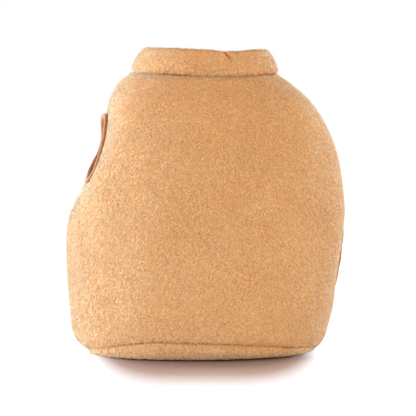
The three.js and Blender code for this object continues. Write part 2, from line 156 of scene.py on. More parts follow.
world = bpy.data.worlds.new("studio")
world.use_nodes = True
bpy.context.scene.world = world
tree = world.node_tree
soft = fed(tree, tree.nodes["Background"], {"Color": AMBIENT_COLOUR, "Strength": AMBIENT})
white = fed(tree, "Background", {"Color": (1.0, 1.0, 1.0, 1.0), "Strength": 1.0})
choice = fed(tree, "MixShader", {0: seen_directly(tree), 1: soft.outputs[0], 2: white.outputs[0]})
fed(tree, tree.nodes["World Output"], {"Surface": choice.outputs[0]})
bpy.context.scene.view_settings.view_transform = "Standard"
print("the world is white to the camera and", AMBIENT, "strong to the toy")

# %% [markdown]
# White paper bounces light up under the toy, so it is nearly white to everything but the
# camera. The camera sees a painted shadow: a warm dark patch right under the toy, tinted as if
# the tan cloth bounced its colour onto it, on which the lamps' own shadow still falls. Further
# out it glows more and more white. The patch is narrow: its edge comes in with the fourth
# power of the distance to the side, and it ends sooner behind the toy than before it.

# %% Paper
PAPER_SIZE, PAPER_BOUNCE = 8.0, 0.95
# The paper's colour to the camera: a painted shadow, warm as if lit by light bounced off the tan cloth.
PAPER_PAINTED_SHADOW = (0.21, 0.145, 0.115)
# Millimetres of floor, from the toy's middle to where the painted shadow begins to fade and ends.
SHADE_MIDDLE, SHADE_NEAR, SHADE_FRONT, SHADE_FADE = 1.0, 50.0, 88.0, 112.0
SHADE_ASIDE, SHADE_BEHIND = 4.56e-6, 1.8
# The painted shadow's tones as it fades out to white.
SHADE_TONES = (
    (0.3, (0.17, 0.135, 0.12, 1)), (0.62, (0.54, 0.57, 0.6, 1)), (0.85, (0.78, 0.83, 0.86, 1)))

bpy.ops.mesh.primitive_plane_add(size=PAPER_SIZE, location=(0.0, 0.0, 0.0))
paper = bpy.context.object
paper.name = "paper"
white_paper = bpy.data.materials.new("white_paper")
white_paper.use_nodes = True
tree = white_paper.node_tree
seen = seen_directly(tree)
sides = fed(tree, "SeparateXYZ", {0: fed(tree, "TexCoord", {}).outputs["Object"]})
aside = reckoned(tree, "MULTIPLY_ADD", sides.outputs["X"], 1000.0, -SHADE_MIDDLE)
aside = reckoned(tree, "POWER", reckoned(tree, "ABSOLUTE", aside, 0.0), 4.0)
aside = reckoned(tree, "MULTIPLY", aside, SHADE_ASIDE)
before = reckoned(tree, "MULTIPLY", sides.outputs["Y"], -1000.0)
behind = reckoned(tree, "MULTIPLY", sides.outputs["Y"], 1000.0 * SHADE_BEHIND)
ahead = reckoned(tree, "MAXIMUM", reckoned(tree, "MAXIMUM", before, SHADE_NEAR), behind)
past = reckoned(tree, "SUBTRACT", reckoned(tree, "ADD", aside, ahead), SHADE_FRONT)
fade = fed(tree, "ValToRGB", {"Fac": reckoned(tree, "DIVIDE", past, SHADE_FADE)})
for place, colour in SHADE_TONES:
    fade.color_ramp.elements.new(place).color = colour
# To the camera the paper has the painted shadow's colour, to all other light it is white.
tone = fed(tree, "CombineColor", {
    channel: reckoned(tree, "MULTIPLY_ADD", seen, colour - PAPER_BOUNCE, PAPER_BOUNCE)
    for channel, colour in enumerate(PAPER_PAINTED_SHADOW)})
fed(tree, tree.nodes["Principled BSDF"], {
    "Base Color": tone.outputs[0], "Roughness": 0.9, "Specular IOR Level": 0.0,
    "Emission Color": fade.outputs["Color"], "Emission Strength": seen})
paper.data.materials.append(white_paper)
print("paper is", PAPER_SIZE, "m wide")

# %% [markdown]
# The wall of the pot is one soft curved form, and every layer of it follows that form at its
# own depth. It could be sculpted, but then each layer would have to be fitted to the last.
# The construction's outline is repeated here instead, in millimetres, as a function that
# takes the turn round the pot, the rise from floor to neck, and the depth below the fleece.

# %% Form of the pot
MM = 0.001
NECK_HEIGHT = 190.0
LEFT_REACH, RIGHT_REACH = 96.0, 98.0
FACE_REACH = 83.0

HEIGHTS = NECK_HEIGHT * np.array(
    [0, .021, .063, .137, .242, .358, .474, .589, .705, .811, .9, .963, .99, 1])
LEFT = LEFT_REACH * np.array(
    [.8, .885, .953, .975, .992, 1, .996, .968, .925, .868, .79, .672, .582, .511])
RIGHT = RIGHT_REACH * np.array(
    [.725, .815, .855, .886, .956, .994, 1, .973, .932, .853, .742, .61, .54, .48])
BACK = FACE_REACH * np.array(
    [.595, .786, .887, .94, .976, .995, 1, .985, .94, .857, .745, .617, .55, .488])
FRONT = FACE_REACH * np.array(
    [.62, .79, .888, .94, .976, .996, 1, .983, .937, .854, .742, .615, .55, .49])
LEFT_FULLNESS, RIGHT_FULLNESS, FULLNESS_END = 0.18, 0.1, 0.22


def eased(values, share):
    """Smooth curve through evenly spaced values."""
    last = len(values) - 1
    k = np.clip(np.floor(share * last).astype(int), 0, last)
    t = share * last - k
    a, b = values[np.maximum(k - 1, 0)], values[k]
    c, d = values[np.minimum(k + 1, last)], values[np.minimum(k + 2, last)]
    leave, arrive = (c - a) / 2, (d - b) / 2
    bend = (2 * (b - c) + leave + arrive) * t + 3 * (c - b) - 2 * leave - arrive
    return bend * t * t + leave * t + b


def step(low, high, value):
    """0 below low, 1 above high and a soft slope between."""
    t = np.clip((value - low) / (high - low), 0, 1)
    return t * t * (3 - 2 * t)


def bell(off, width):
    """1 in the middle and less and less away from it."""
    return np.exp(-((off / width) ** 2))


def joined(*parts):
    return np.stack(np.broadcast_arrays(*parts), axis=-1)


def unit(vectors):
    return vectors / np.maximum(np.linalg.norm(vectors, axis=-1, keepdims=True), 1e-9)


def plump_point(turn, rise):
    across, deep = np.cos(turn), np.sin(turn)
    flank = np.where(across < 0, eased(LEFT, rise), eased(RIGHT, rise))
    face = np.where(deep < 0, eased(BACK, rise), eased(FRONT, rise))
    fullness = np.where(across < 0, LEFT_FULLNESS, RIGHT_FULLNESS)
    corner = 1 + fullness * (1 - step(0, FULLNESS_END, rise)) * np.sin(2 * turn) ** 2
    return joined(flank * across * corner, face * deep * corner, eased(HEIGHTS, rise))


def plump_normal(turn, rise):
    little = 1e-3
    around = plump_point(turn + little, rise) - plump_point(turn - little, rise)
    above, below = np.minimum(rise + little, 1), np.maximum(rise - little, 0)
    return unit(np.cross(around, plump_point(turn, above) - plump_point(turn, below)))


flanks = plump_point(np.array([math.pi, 0.0]), 0.5)[:, 0]
print("widest at the flanks:", np.round(flanks, 1))

# %% [markdown]
# The seam at the base sags towards the floor between the places where it was gathered, and
# the neck dips at the back. Both are set by the turn round the pot, as on the construction.

# %% Base seam and neck
SEAM_LEFT, SEAM_RIGHT, SEAM_BACK, SEAM_FRONT = 3.0, 4.5, 15.0, 10.0
SAG_TURNS = np.radians(
    [0, 25, 155, 180, 195, 208, 218, 230, 249, 264, 276, 289, 301, 311, 336, 350, 360])
SAG = np.array(
    [1.5, 0, 0, 1.0, 2.5, 4.0, 2.6, 1.1, 1.3, 3.6, 4.3, 4.4, 3.8, 3.3, 2.8, 2.0, 1.5])
NECK_DIP, NECK_TILT = 3.0, 1.0


def round_about(turn, turns, values):
    """Reads a table of values by the turn round the pot."""
    return np.interp(np.mod(turn, 2 * math.pi), turns, values)


def seam_height(turn):
    flank = np.where(np.cos(turn) < 0, SEAM_LEFT, SEAM_RIGHT)
    face = np.where(np.sin(turn) < 0, SEAM_BACK, SEAM_FRONT)
    sag = round_about(turn, SAG_TURNS, SAG)
    return flank * np.cos(turn) ** 2 + face * np.sin(turn) ** 2 - sag


def neck_drop(turn):
    return NECK_DIP * np.maximum(0, -np.sin(turn)) ** 2 + NECK_TILT * np.cos(turn)


print("the seam is", float(np.round(seam_height(1.5 * math.pi), 1)), "mm up at the back")

# %% [markdown]
# The two holes are bound tightly, and the binding draws the stuffed wall inwards like a
# button draws a cushion. Each hole has its own axes: out through the wall, along it and up.

# %% Holes that draw the wall in
HOLE_WIDTH, HOLE_HEIGHT = 41.0, 43.0
FLEECE, WALL_FILLING, NECK_FILLING, LINING, GAP = 2.6, 10.5, 3.6, 1.4, 0.3
FACING = 2.0
CREASE_DEPTH, CREASE_WIDTH = 1.8, 4.0
TAPER_START = 0.72


def hole(side, height, yaw, pitch, dent_lift, dent_depth, dent_radius, sinks):
    turn, tip = math.radians(yaw), math.radians(pitch)
    level = np.array([side * math.cos(turn), -math.sin(turn), 0.0])
    out = level * math.cos(tip) + np.array([0, 0, math.sin(tip)])
    along = unit(np.cross([0.0, 0.0, 1.0], level))
    dent = level * (LEFT_REACH if side < 0 else RIGHT_REACH)
    dent[2] = height + dent_lift
    return dict(level=level, out=out, along=along, up=unit(np.cross(out, along)), dent=dent,
                height=height, depth=dent_depth, radius=dent_radius, sinks=sinks)


# Sinks say where the wall is drawn in more than elsewhere round its hole, as lip_swell reads it.
HOLES = [hole(-1, 138.0, 4.0, 18.0, 4.0, 15.5, 38.0, [(-42.0, 38.0, 1.7)]),
         hole(1, 62.0, -7.0, -9.0, -2.0, 7.5, 32.0, [])]


def hole_pull(points):
    pull = np.zeros_like(points)
    for h in HOLES:
        off = points - h["dent"]
        off = off - (off @ h["level"])[..., None] * h["level"]
        share = np.exp(-((np.linalg.norm(off, axis=-1) / h["radius"]) ** 3))
        share = np.where(points @ h["level"] > 0, share, 0)
        pull -= h["depth"] * share[..., None] * h["level"]
    return pull


def wall_point(turn, rise, depth):
    """A point of the wall, at a depth below the face of its fleece."""
    plump = plump_point(turn, rise)
    inward = depth + CREASE_DEPTH * bell(plump[..., 2] - seam_height(turn), CREASE_WIDTH)
    point = plump - plump_normal(turn, rise) * inward[..., None] + hole_pull(plump)
    point[..., 2] -= neck_drop(turn) * step(TAPER_START, 1, rise)
    return point


def filling_back(rise):
    return FLEECE + GAP + WALL_FILLING + (NECK_FILLING - WALL_FILLING) * step(TAPER_START, 1, rise)


def lining_front(rise):
    return filling_back(rise) + GAP


def lining_back(rise):
    return lining_front(rise) + LINING


thick, thin = (round(float(lining_back(rise)), 1) for rise in (0.5, 1.0))
print("the wall is", thick, "mm thick and", thin, "at the neck")

# %% [markdown]
# Cloth is laid out flat before it is sewn, so each panel starts as a flat grid whose columns
# run round the pot and whose rows run up it. The cells are about 3 mm and get smaller next to
# a seam, where the cloth curls in. Lengths are measured along the cloth, as on a tape.

# %% Tape measures
CELL, FINE_CELL, CELL_GROWTH = 3.0, 0.8, 1.35
SEAM_GAP = 0.04
TURN_LENGTH = 90.0
TAPE = np.linspace(0, 1, 4001)
LENGTHS = np.concatenate([[0], np.cumsum(np.linalg.norm(
    np.diff(plump_point(np.full_like(TAPE, 1.5 * math.pi), TAPE), axis=0), axis=1))])


def length_at(rise):
    return np.interp(rise, TAPE, LENGTHS)


def rise_at(length):
    return np.interp(length, LENGTHS, TAPE)


def rise_at_height(height):
    return np.interp(height, eased(HEIGHTS, TAPE), TAPE)


def base_seam_rise(turn):
    return rise_at_height(seam_height(turn) + SEAM_GAP / 2)


def crowded(length, least):
    """Shares from 0 to 1 with small steps at both ends that grow towards the middle."""
    ends = [least]
    while ends[-1] * CELL_GROWTH < CELL:
        ends.append(ends[-1] * CELL_GROWTH)
    middle = max(1, round((length - 2 * sum(ends)) / CELL))
    places = np.concatenate([[0], np.cumsum(ends + [CELL] * middle + ends[::-1])])
    return places / places[-1]


print("the back is", round(LENGTHS[-1]), "mm long on the tape")

# %% [markdown]
# The cloth ends at each hole's oval. To find where, the wall's surface is followed until it
# meets a line beside the hole's axis, in a few steps that each correct the last one's miss.

# %% Round the holes
HOLE_EDGE = 23.0


def hole_place(h, points):
    """Across and up from a hole's axis."""
    off = points - h["centre"]
    return off @ h["along"], off @ h["up"]


def lip_swell(angle, swells):
    """Sum of soft swells round a ring. Each has a place and width in degrees and a height."""
    total = 0 * angle
    for place, width, height in swells:
        off = np.angle(np.exp(1j * (angle - math.radians(place))))
        total = total + height * bell(off, math.radians(width))
    return total


def hole_reach(h, points, margin):
    """1 on the hole's oval and more outside it. Far away on the other flank it is huge."""
    across, up = hole_place(h, points)
    reach = np.hypot(across / (HOLE_WIDTH / 2 + margin), up / (HOLE_HEIGHT / 2 + margin))
    return np.where(points @ h["level"] > 0, reach, 99.0)


def past_hole(h, points):
    """Rough distance from the edge of the cloth round a hole."""
    return (hole_reach(h, points, FACING + GAP) - 1) * HOLE_EDGE


def wall_crossing(h, across, up, depth, turn, rise):
    """The turn and rise at which the wall meets a line beside the hole's axis."""
    little = 1e-4

    def miss(turn, rise):
        a, b = hole_place(h, wall_point(turn, rise, depth(rise)))
        return a - across, b - up

    for _ in range(10):
        a, b = miss(turn, rise)
        a_turn, b_turn = miss(turn + little, rise)
        a_rise, b_rise = miss(turn, rise + little)
        m = [(a_turn - a) / little, (a_rise - a) / little,
             (b_turn - b) / little, (b_rise - b) / little]
        scale = m[0] * m[3] - m[1] * m[2]
        turn = turn - (m[3] * a - m[1] * b) / scale
        rise = rise - (m[0] * b - m[2] * a) / scale
    return turn, rise


for h in HOLES:
    turn = np.array(math.atan2(h["level"][1], h["level"][0]))
    h["centre"] = wall_point(turn, rise_at_height(h["height"]), np.array(0.0))
    print("hole at", np.round(h["centre"], 1))

# %% [markdown]
# Every piece of cloth starts as plain corners and faces. Its corners carry numbers, such as
# the turn and rise they were cut at, and when the cloth is refined the new corners between
# them get the numbers in between.

# %% Pieces and their numbers
def new_piece(name, points, faces):
    mesh = bpy.data.meshes.new(name)
    mesh.from_pydata((points * MM).tolist(), [], faces)
    mesh.validate()
    piece = bpy.data.objects.new(name, mesh)
    bpy.context.collection.objects.link(piece)
    mesh.shade_smooth()
    return piece


def set_numbers(piece, name, values):
    kept = piece.data.attributes
    layer = kept.get(name) or kept.new(name, "FLOAT", "POINT")
    layer.data.foreach_set("value", np.asarray(values, np.float32))


def get_numbers(piece, name):
    values = np.zeros(len(piece.data.vertices), np.float32)
    piece.data.attributes[name].data.foreach_get("value", values)
    return values.astype(float)

# %% [markdown]
# A panel, the stuffing behind it and its lining are all closed layers with a front, a back
# and a narrow edge all round. One helper makes the layer from its flat grid, cuts it clear of
# both holes and moves the cut's corners onto the hole's oval, as scissors would.

# %% A closed layer of the wall
BACK_HALF, FRONT_HALF = (math.pi, 2 * math.pi), (0.0, math.pi)


def flat_grid(first, last, low_rise):
    """Turns, rises and cells of a panel that is laid out flat."""
    inset = SEAM_GAP / 2 / LEFT_REACH
    columns = crowded((last - first) * TURN_LENGTH, FINE_CELL)
    turn = first + inset + (last - first - 2 * inset) * columns
    low = length_at(low_rise(turn))
    rows = crowded(LENGTHS[-1] - low.min(), FINE_CELL)
    rise = rise_at(low[:, None] + (LENGTHS[-1] - low)[:, None] * rows)
    number = np.arange(rise.size).reshape(rise.shape)
    quads = joined(number[:-1, :-1], number[1:, :-1], number[1:, 1:], number[:-1, 1:])
    return np.repeat(turn, len(rows)), rise.ravel(), quads.reshape(-1, 4)


def open_edges(quads):
    """The sides of cells that no other cell shares."""
    ends = {}
    for quad in quads.tolist():
        for a, b in zip(quad, quad[1:] + quad[:1]):
            if ends.pop((b, a), None) is None:
                ends[a, b] = True
    return list(ends)


def wall_layer(name, half, low_rise, front, back):
    """Closed layer between two depths. Its front faces come first, and corners keep their
    turn and rise."""
    turn, rise, quads = flat_grid(*half, low_rise)
    turns, rises = [turn, turn.copy()], [rise, rise.copy()]
    for h in HOLES:
        reach = hole_reach(h, wall_point(turn, rise, front(rise)), FACING + GAP)
        gone = reach < 1 - CELL / HOLE_WIDTH
        cut = gone[quads].any(axis=1)
        rim = np.intersect1d(quads[cut], quads[~cut])
        quads = quads[~cut]
        a, b = hole_place(h, wall_point(turn[rim], rise[rim], front(rise[rim])))
        onto = reach[rim]
        for side, depth in ((0, front), (1, back)):
            turns[side][rim], rises[side][rim] = wall_crossing(
                h, a / onto, b / onto, depth, turns[side][rim], rises[side][rim])
    used, quads = np.unique(quads, return_inverse=True)
    quads = quads.reshape(-1, 4)
    turns, rises = [t[used] for t in turns], [r[used] for r in rises]
    count = len(used)
    edge = [(b, a, a + count, b + count) for a, b in open_edges(quads)]
    faces = quads.tolist() + (quads[:, ::-1] + count).tolist() + edge
    points = [wall_point(t, r, depth(r)) for t, r, depth in zip(turns, rises, (front, back))]
    piece = new_piece(name, np.concatenate(points), faces)
    set_numbers(piece, "turn", np.concatenate(turns))
    set_numbers(piece, "rise", np.concatenate(rises))
    print(name, "is laid out with", len(faces), "faces")
    return piece, len(quads)


def alone(piece):
    """Makes one piece the only selected one and the active one, as Blender's tools need."""
    bpy.ops.object.select_all(action="DESELECT")
    piece.select_set(True)
    bpy.context.view_layer.objects.active = piece


def refine(piece, first, count, cuts):
    """Subdivides a run of faces and returns which corners belong to the finer side."""
    mesh = piece.data
    alone(piece)
    bpy.ops.object.mode_set(mode="EDIT")
    bpy.ops.mesh.select_mode(type="FACE")
    bpy.ops.mesh.select_all(action="DESELECT")
    bpy.ops.object.mode_set(mode="OBJECT")
    chosen = np.zeros(len(mesh.polygons), bool)
    chosen[first:first + count] = True
    mesh.polygons.foreach_set("select", chosen)
    bpy.ops.object.mode_set(mode="EDIT")
    bpy.ops.mesh.subdivide(number_cuts=cuts)
    bpy.ops.object.mode_set(mode="OBJECT")
    fine = np.zeros(len(mesh.vertices), bool)
    mesh.vertices.foreach_get("select", fine)
    piece.select_set(False)
    return fine

# %% [markdown]
# Fleece isn't smooth. Its cloth follows the lumps of its stuffing, and its pile stands a
# little higher here and lower there. A bump map alone would leave the outline hard, so this is
# moved into the mesh. How high each corner stands is also kept as a tone number, which the
# colour later follows: the hollows get painted shade and the raised tufts painted light.

# %% Tufts and lumps
CLOTH_DEPTH = 0.9
TUFT_SIZE, TUFT_HEIGHT, TUFT_STRETCH = 1.7, 0.2, 0.6
# The cloth's middle tone, how far it swings with the tufts as painted shade and light, and the share of it
# left right at a seam as painted seam shade.
TONE_MIDDLE, TUFT_SHADE_SWING, SEAM_SHADE = 0.25, 0.1, 0.1
# The strip next to a seam where no pile grows and the cloth is painted darker, as seam shade.
BARE_STRIP = (0.0, 0.9)


def drift(points, size, seed):
    """Smooth noise from about -1 to 1 whose blobs have that size."""
    shift = Vector((seed * 17.3, seed * 5.9, seed * 11.1))
    return np.array([noise.noise(Vector(p) + shift) for p in (points / size).tolist()])


def drifts(points, seed, *layers):
    """Sum of smooth noises. Each has a height and a size, and takes the next seed."""
    return sum(height * drift(points, size, seed + k) for k, (height, size) in enumerate(layers))


def corners_of(piece):
    points = np.zeros(len(piece.data.vertices) * 3, np.float32)
    piece.data.vertices.foreach_get("co", points)
    return points.reshape(-1, 3).astype(float) / MM


def normals_of(piece):
    normals = np.zeros(len(piece.data.vertices) * 3, np.float32)
    piece.data.vertex_normals.foreach_get("vector", normals)
    return normals.reshape(-1, 3).astype(float)


def move_corners(piece, points):
    piece.data.vertices.foreach_set("co", (points * MM).astype(np.float32).ravel())
    piece.data.update()


def raise_nap(piece, fine, fade, seed):
    """Raises the fine corners here and there, and keeps where pile may grow and a tone number with painted
    shade, darker in the hollows and next to the seams.
    """
    points = corners_of(piece)
    amount = np.zeros(len(points))
    amount[fine] = drift(points[fine] * [1, 1, TUFT_STRETCH], TUFT_SIZE, seed)
    move_corners(piece, points + normals_of(piece) * (TUFT_HEIGHT * amount * fade)[:, None])
    # Darker in the hollows and lighter on the raised tufts: painted shade and light.
    tone_and_painted_light = TONE_MIDDLE + TUFT_SHADE_SWING * np.clip(amount, -1, 1)
    # Next to a seam the tone is darker: painted seam shade.
    set_numbers(piece, "tone_and_painted_light", tone_and_painted_light * np.where(fine, SEAM_SHADE + (1 - SEAM_SHADE) * fade, 1))
    set_numbers(piece, "pile", np.where(fine, fade, 0))
    print(piece.name, "has", len(piece.data.polygons), "faces")

# %% [markdown]
# The two wall panels meet at the flanks and run from the base seam to the neck. Next to each
# seam the cloth curls in, and is painted darker as seam shade, so that the seam reads as a dark
# line. Under the collar it is fuller, and so is the right flank below its hole. Small puckers
# run away from the base seam, where the wall is gathered onto the base.

# %% Fleece panels of the wall
# How wide the curl next to each kind of seam is, and how deep.
BASE_CURL, NECK_CURL, FLANK_CURL, HOLE_CURL = (2.4, 1.5), (1.2, 0.8), (1.5, 0.7), (2.6, 1.1)
NECK_FULLNESS = 1.3
WELT_AWAY, WELT_WIDTH, WELT_HEIGHT = 4.5, 3.0, 0.55
SINK_WIDTH = 9.0
JUT_PLACE, JUT_WIDTH, JUT_HEIGHT, JUT_FOOT, JUT_TURN = 30.0, 13.0, 2.6, 2.3, 0.5
PUCKER_WIDTH, PUCKER_LENGTH, PUCKER_END, PUCKER_HEIGHT = 5.5, 16.0, 7.0, 0.6
PANEL_LUMPS = (0.6, 38.0), (0.3, 17.1)


def curl(distance, radius, depth):
    """How far cloth curls in at a distance from its seam."""
    t = np.clip(1 - distance / radius, 0, 1)
    return depth * (1 - np.sqrt(np.maximum(1 - t * t, 0)))


def seam_shade_hidden(turn):
    """How far the bare strip along the neck seam, with its painted seam shade, is narrowed round the toy's
    left, where no seam shows.
    """
    return np.clip(lip_swell(turn, [(190.0, 50.0, 1.0)]), 0, 1)


def dressed(piece, node, body="root"):
    """Hides the piece of the construction that this cloth stands for, and hangs the cloth on what it moves
    with.
    """
    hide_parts(node)
    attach(piece, body)


def panel_cloth(name, node, half, seed):
    piece, front = wall_layer(
        name, half, base_seam_rise, lambda r: 0 * r + CLOTH_DEPTH, lambda r: 0 * r + FLEECE)
    fine = refine(piece, 0, front, 2)
    turn, rise = get_numbers(piece, "turn"), get_numbers(piece, "rise")
    points = corners_of(piece)
    smooth = wall_point(turn, rise, 0 * rise)
    height = smooth[:, 2]
    from_base = length_at(rise) - length_at(base_seam_rise(turn))
    from_neck = LENGTHS[-1] - length_at(rise)
    from_flank = np.minimum(turn - half[0], half[1] - turn) * TURN_LENGTH
    from_hole = np.min([past_hole(h, smooth) for h in HOLES], axis=0)
    nearest = np.min([from_base, from_neck, from_flank, from_hole], axis=0)
    inward = CLOTH_DEPTH + curl(from_base, *BASE_CURL) + curl(from_neck, *NECK_CURL)
    inward += curl(from_flank, *FLANK_CURL) + curl(from_hole, *HOLE_CURL)
    at_neck, below_neck = step(6, 2, from_neck), step(18, 7, from_neck)
    inward -= NECK_FULLNESS * (at_neck + (below_neck - at_neck) * np.sin(turn) ** 2)
    inward -= WELT_HEIGHT * bell(from_hole - WELT_AWAY, WELT_WIDTH)
    for h in HOLES:
        across, up = hole_place(h, smooth)
        angle = np.arctan2(up / HOLE_HEIGHT, across / HOLE_WIDTH)
        inward += lip_swell(angle, h["sinks"]) * bell(past_hole(h, smooth), SINK_WIDTH)
    jut = JUT_HEIGHT * bell(height - JUT_PLACE, JUT_WIDTH) + JUT_FOOT * step(8, 2, height)
    jut *= bell(np.angle(np.exp(1j * turn)), JUT_TURN)
    inward -= jut * step(0, 3, from_base) * step(1, 8, from_hole)
    gathers = joined(turn * TURN_LENGTH / PUCKER_WIDTH, 0 * turn, from_base / PUCKER_LENGTH)
    pucker = PUCKER_HEIGHT * drift(gathers, 1.0, seed + 7)
    inward -= pucker * np.exp(-from_base / PUCKER_END) * step(0.5, 3, from_base)
    inward -= drifts(smooth, seed + 3, *PANEL_LUMPS) * step(2, 14, nearest)
    points[fine] = wall_point(turn, rise, inward)[fine]
    move_corners(piece, points)
    # Next to the seams no pile grows and the cloth is painted darker, as seam shade. Round the left the
    # strip at the neck is narrower.
    neck_strip = from_neck / (3 - 2 * seam_shade_hidden(turn))
    others = np.min([from_base, neck_strip, from_hole], axis=0)
    raise_nap(piece, fine, step(*BARE_STRIP, others) * step(-0.2, 0.3, from_flank), seed)
    dressed(piece, node)
    return piece


back_cloth = panel_cloth("back_panel_cloth", "back_panel", BACK_HALF, 1)
front_cloth = panel_cloth("front_panel_cloth", "front_panel", FRONT_HALF, 21)

# %% [markdown]
# The base is cut as one round piece. Its middle lies flat and its rim turns up to the wall's
# seam. Only the rim shows, so only the rim gets the fine tufts.

# %% Base panel
BASE_COLUMNS, BASE_ROWS, BASE_RIM, RIM_CELL = 156, 14, 22.0, 0.6
# How far inside the seam the base meets the floor, at each turn.
FOOT_TURNS = np.radians([0, 30, 150, 180, 205, 222, 240, 262, 280, 300, 325, 345, 360])
FOOT_INSET = np.array([10, 14, 14, 12, 7, 6, 9, 16, 17, 18, 16, 12, 10])
FOOT_FULLNESS = 2.5
FLAT_WIDTH = 8.0
# Below this rise the wall turns under too much to say which way is out.
LEAST_RISE = 0.16
BASE_LUMP, BASE_LUMP_HEIGHT = 22.0, 0.5


def turns_round(count):
    return np.arange(count) / count * 2 * math.pi


def ring_layer(name, loops):
    """Closed ring from loops of points, one loop for each column, each running front then back."""
    number = np.arange(loops.shape[0] * loops.shape[1]).reshape(loops.shape[:2])
    beside, after = np.roll(number, -1, 0), np.roll(number, -1, 1)
    corner = np.roll(beside, -1, 1)
    quads = joined(number, beside, corner, after).transpose(1, 0, 2).reshape(-1, 4)
    return new_piece(name, loops.reshape(-1, 3), quads.tolist())


def edited(piece, *works):
    """Runs mesh tools on all of a piece."""
    alone(piece)
    bpy.ops.object.mode_set(mode="EDIT")
    bpy.ops.mesh.select_all(action="SELECT")
    for work in works:
        work()
    bpy.ops.object.mode_set(mode="OBJECT")
    piece.select_set(False)


def merge_corners():
    bpy.ops.mesh.remove_doubles(threshold=1e-6)


def close_middle(piece):
    """Merges the corners that meet in the middle of a round piece."""
    edited(piece, merge_corners, bpy.ops.mesh.delete_loose)
    print(piece.name, "is closed in the middle, with", len(piece.data.polygons), "faces")


def seam_ring(turn):
    """The rise of the base's seam and its level outward direction."""
    top = rise_at_height(seam_height(turn) - SEAM_GAP / 2)
    outward = plump_normal(turn, np.maximum(top, LEAST_RISE))
    return top, unit(outward * [1, 1, 0])


def base_skin(turn, share, inward):
    """A point of the base's rim, from its seam at share 0 down to the floor at share 1."""
    top, outward = seam_ring(turn)
    edge = wall_point(turn, top, inward)
    inset = round_about(turn, FOOT_TURNS, FOOT_INSET)
    power = 2 / FOOT_FULLNESS
    level = np.cos(share * math.pi / 2) ** power - 1
    down = np.sin(share * math.pi / 2) ** power
    point = edge + outward * (inset * level)[..., None]
    point[..., 2] = edge[..., 2] * (1 - down)
    return point


def base_cloth():
    columns = turns_round(BASE_COLUMNS)
    shares = crowded(BASE_RIM, RIM_CELL)[::-1, None]
    flat = np.linspace(0, 1, BASE_ROWS)[:-1, None, None]
    top, _ = seam_ring(columns)
    outer = base_skin(columns[None], shares, CLOTH_DEPTH + 0 * columns[None] * shares)
    rise = rise_at(length_at(top) * (1 - shares))
    inner = wall_point(columns[None], rise, 0 * rise + FLEECE)
    inner[0, :, 2] = FLEECE
    rows = np.concatenate([outer[:1] * flat, outer, inner[::-1], (inner[:1] * flat)[::-1]])
    rows[:len(flat), :, 2] = 0
    rows[-len(flat):, :, 2] = FLEECE
    piece = ring_layer("base_panel_cloth", rows.transpose(1, 0, 2))
    share = np.full((len(rows), BASE_COLUMNS), 1.0)
    share[len(flat):len(flat) + len(shares)] = shares
    set_numbers(piece, "turn_x", np.repeat(np.cos(columns), len(rows)))
    set_numbers(piece, "turn_y", np.repeat(np.sin(columns), len(rows)))
    set_numbers(piece, "share", share.T.ravel())
    return piece, refine(piece, len(flat) * BASE_COLUMNS, (len(shares) - 1) * BASE_COLUMNS, 3)


def finish_base(piece, fine):
    points = corners_of(piece)
    turn = np.arctan2(get_numbers(piece, "turn_y"), get_numbers(piece, "turn_x"))
    share = get_numbers(piece, "share")
    top, _ = seam_ring(turn)
    from_seam = share * (length_at(top) + FLAT_WIDTH)
    inward = CLOTH_DEPTH + curl(from_seam, *BASE_CURL)
    inward -= BASE_LUMP_HEIGHT * drift(points, BASE_LUMP, 41) * step(1, 5, from_seam)
    points[fine] = base_skin(turn, share, inward)[fine]
    points[fine, 2] = np.maximum(points[fine, 2], 0.0)
    move_corners(piece, points)
    # Next to the seam and right at the floor no pile grows and the cloth is painted darker, as shade.
    raise_nap(piece, fine, step(*BARE_STRIP, from_seam) * step(0.4, 2.5, points[:, 2]), 42)
    close_middle(piece)
    dressed(piece, "base_panel")
    return piece


base = finish_base(*base_cloth())

# %% [markdown]
# The collar is a strip of fleece rolled round its own stuffing and sewn down at the neck. Its
# section is a squarish oval that leans inwards. It sits heavily on the shoulder, so the lower
# outer corner is fuller than the others. The strip's ends meet at the back, where the
# photograph shows a short slanting crease.

# %% Collar
COLLAR_HEIGHT, COLLAR_THICKNESS, COLLAR_INSET, COLLAR_LEAN = 17.0, 14.6, 5.6, 3.2
COLLAR_OPENING, COLLAR_PRESS, COLLAR_RADIUS = 2.4, 1.5, 48.0
COLLAR_COLUMNS, OUTSIDE_ROWS, INSIDE_ROWS = 400, 68, 15
ROUNDNESS, FULL_ROUNDNESS = 2.7, 3.6
# Where the rim has sunk, and where it hangs over the wall. Places and widths are in degrees.
RIM_SLUMP = [(90.0, 55.0, -2.2), (184.0, 24.0, -1.1), (244.0, 24.0, 1.0), (276.0, 16.0, 0.4)]
OVERHANG = [(276.0, 12.0, 2.4), (300.0, 16.0, 0.8), (236.0, 24.0, -0.5)]
COLLAR_LUMPS = (0.55, 15.0), (0.33, 34.0)
JOINT_TOP, JOINT_SLANT, JOINT_END = 4.990, 0.075, (2.4, 1.6)
GROOVE_DEPTH, GROOVE_WIDTH = 1.7, 1.1
JOINT_WELT, WELT_ASIDE, JOINT_WELT_WIDTH = 0.5, 2.6, 2.0


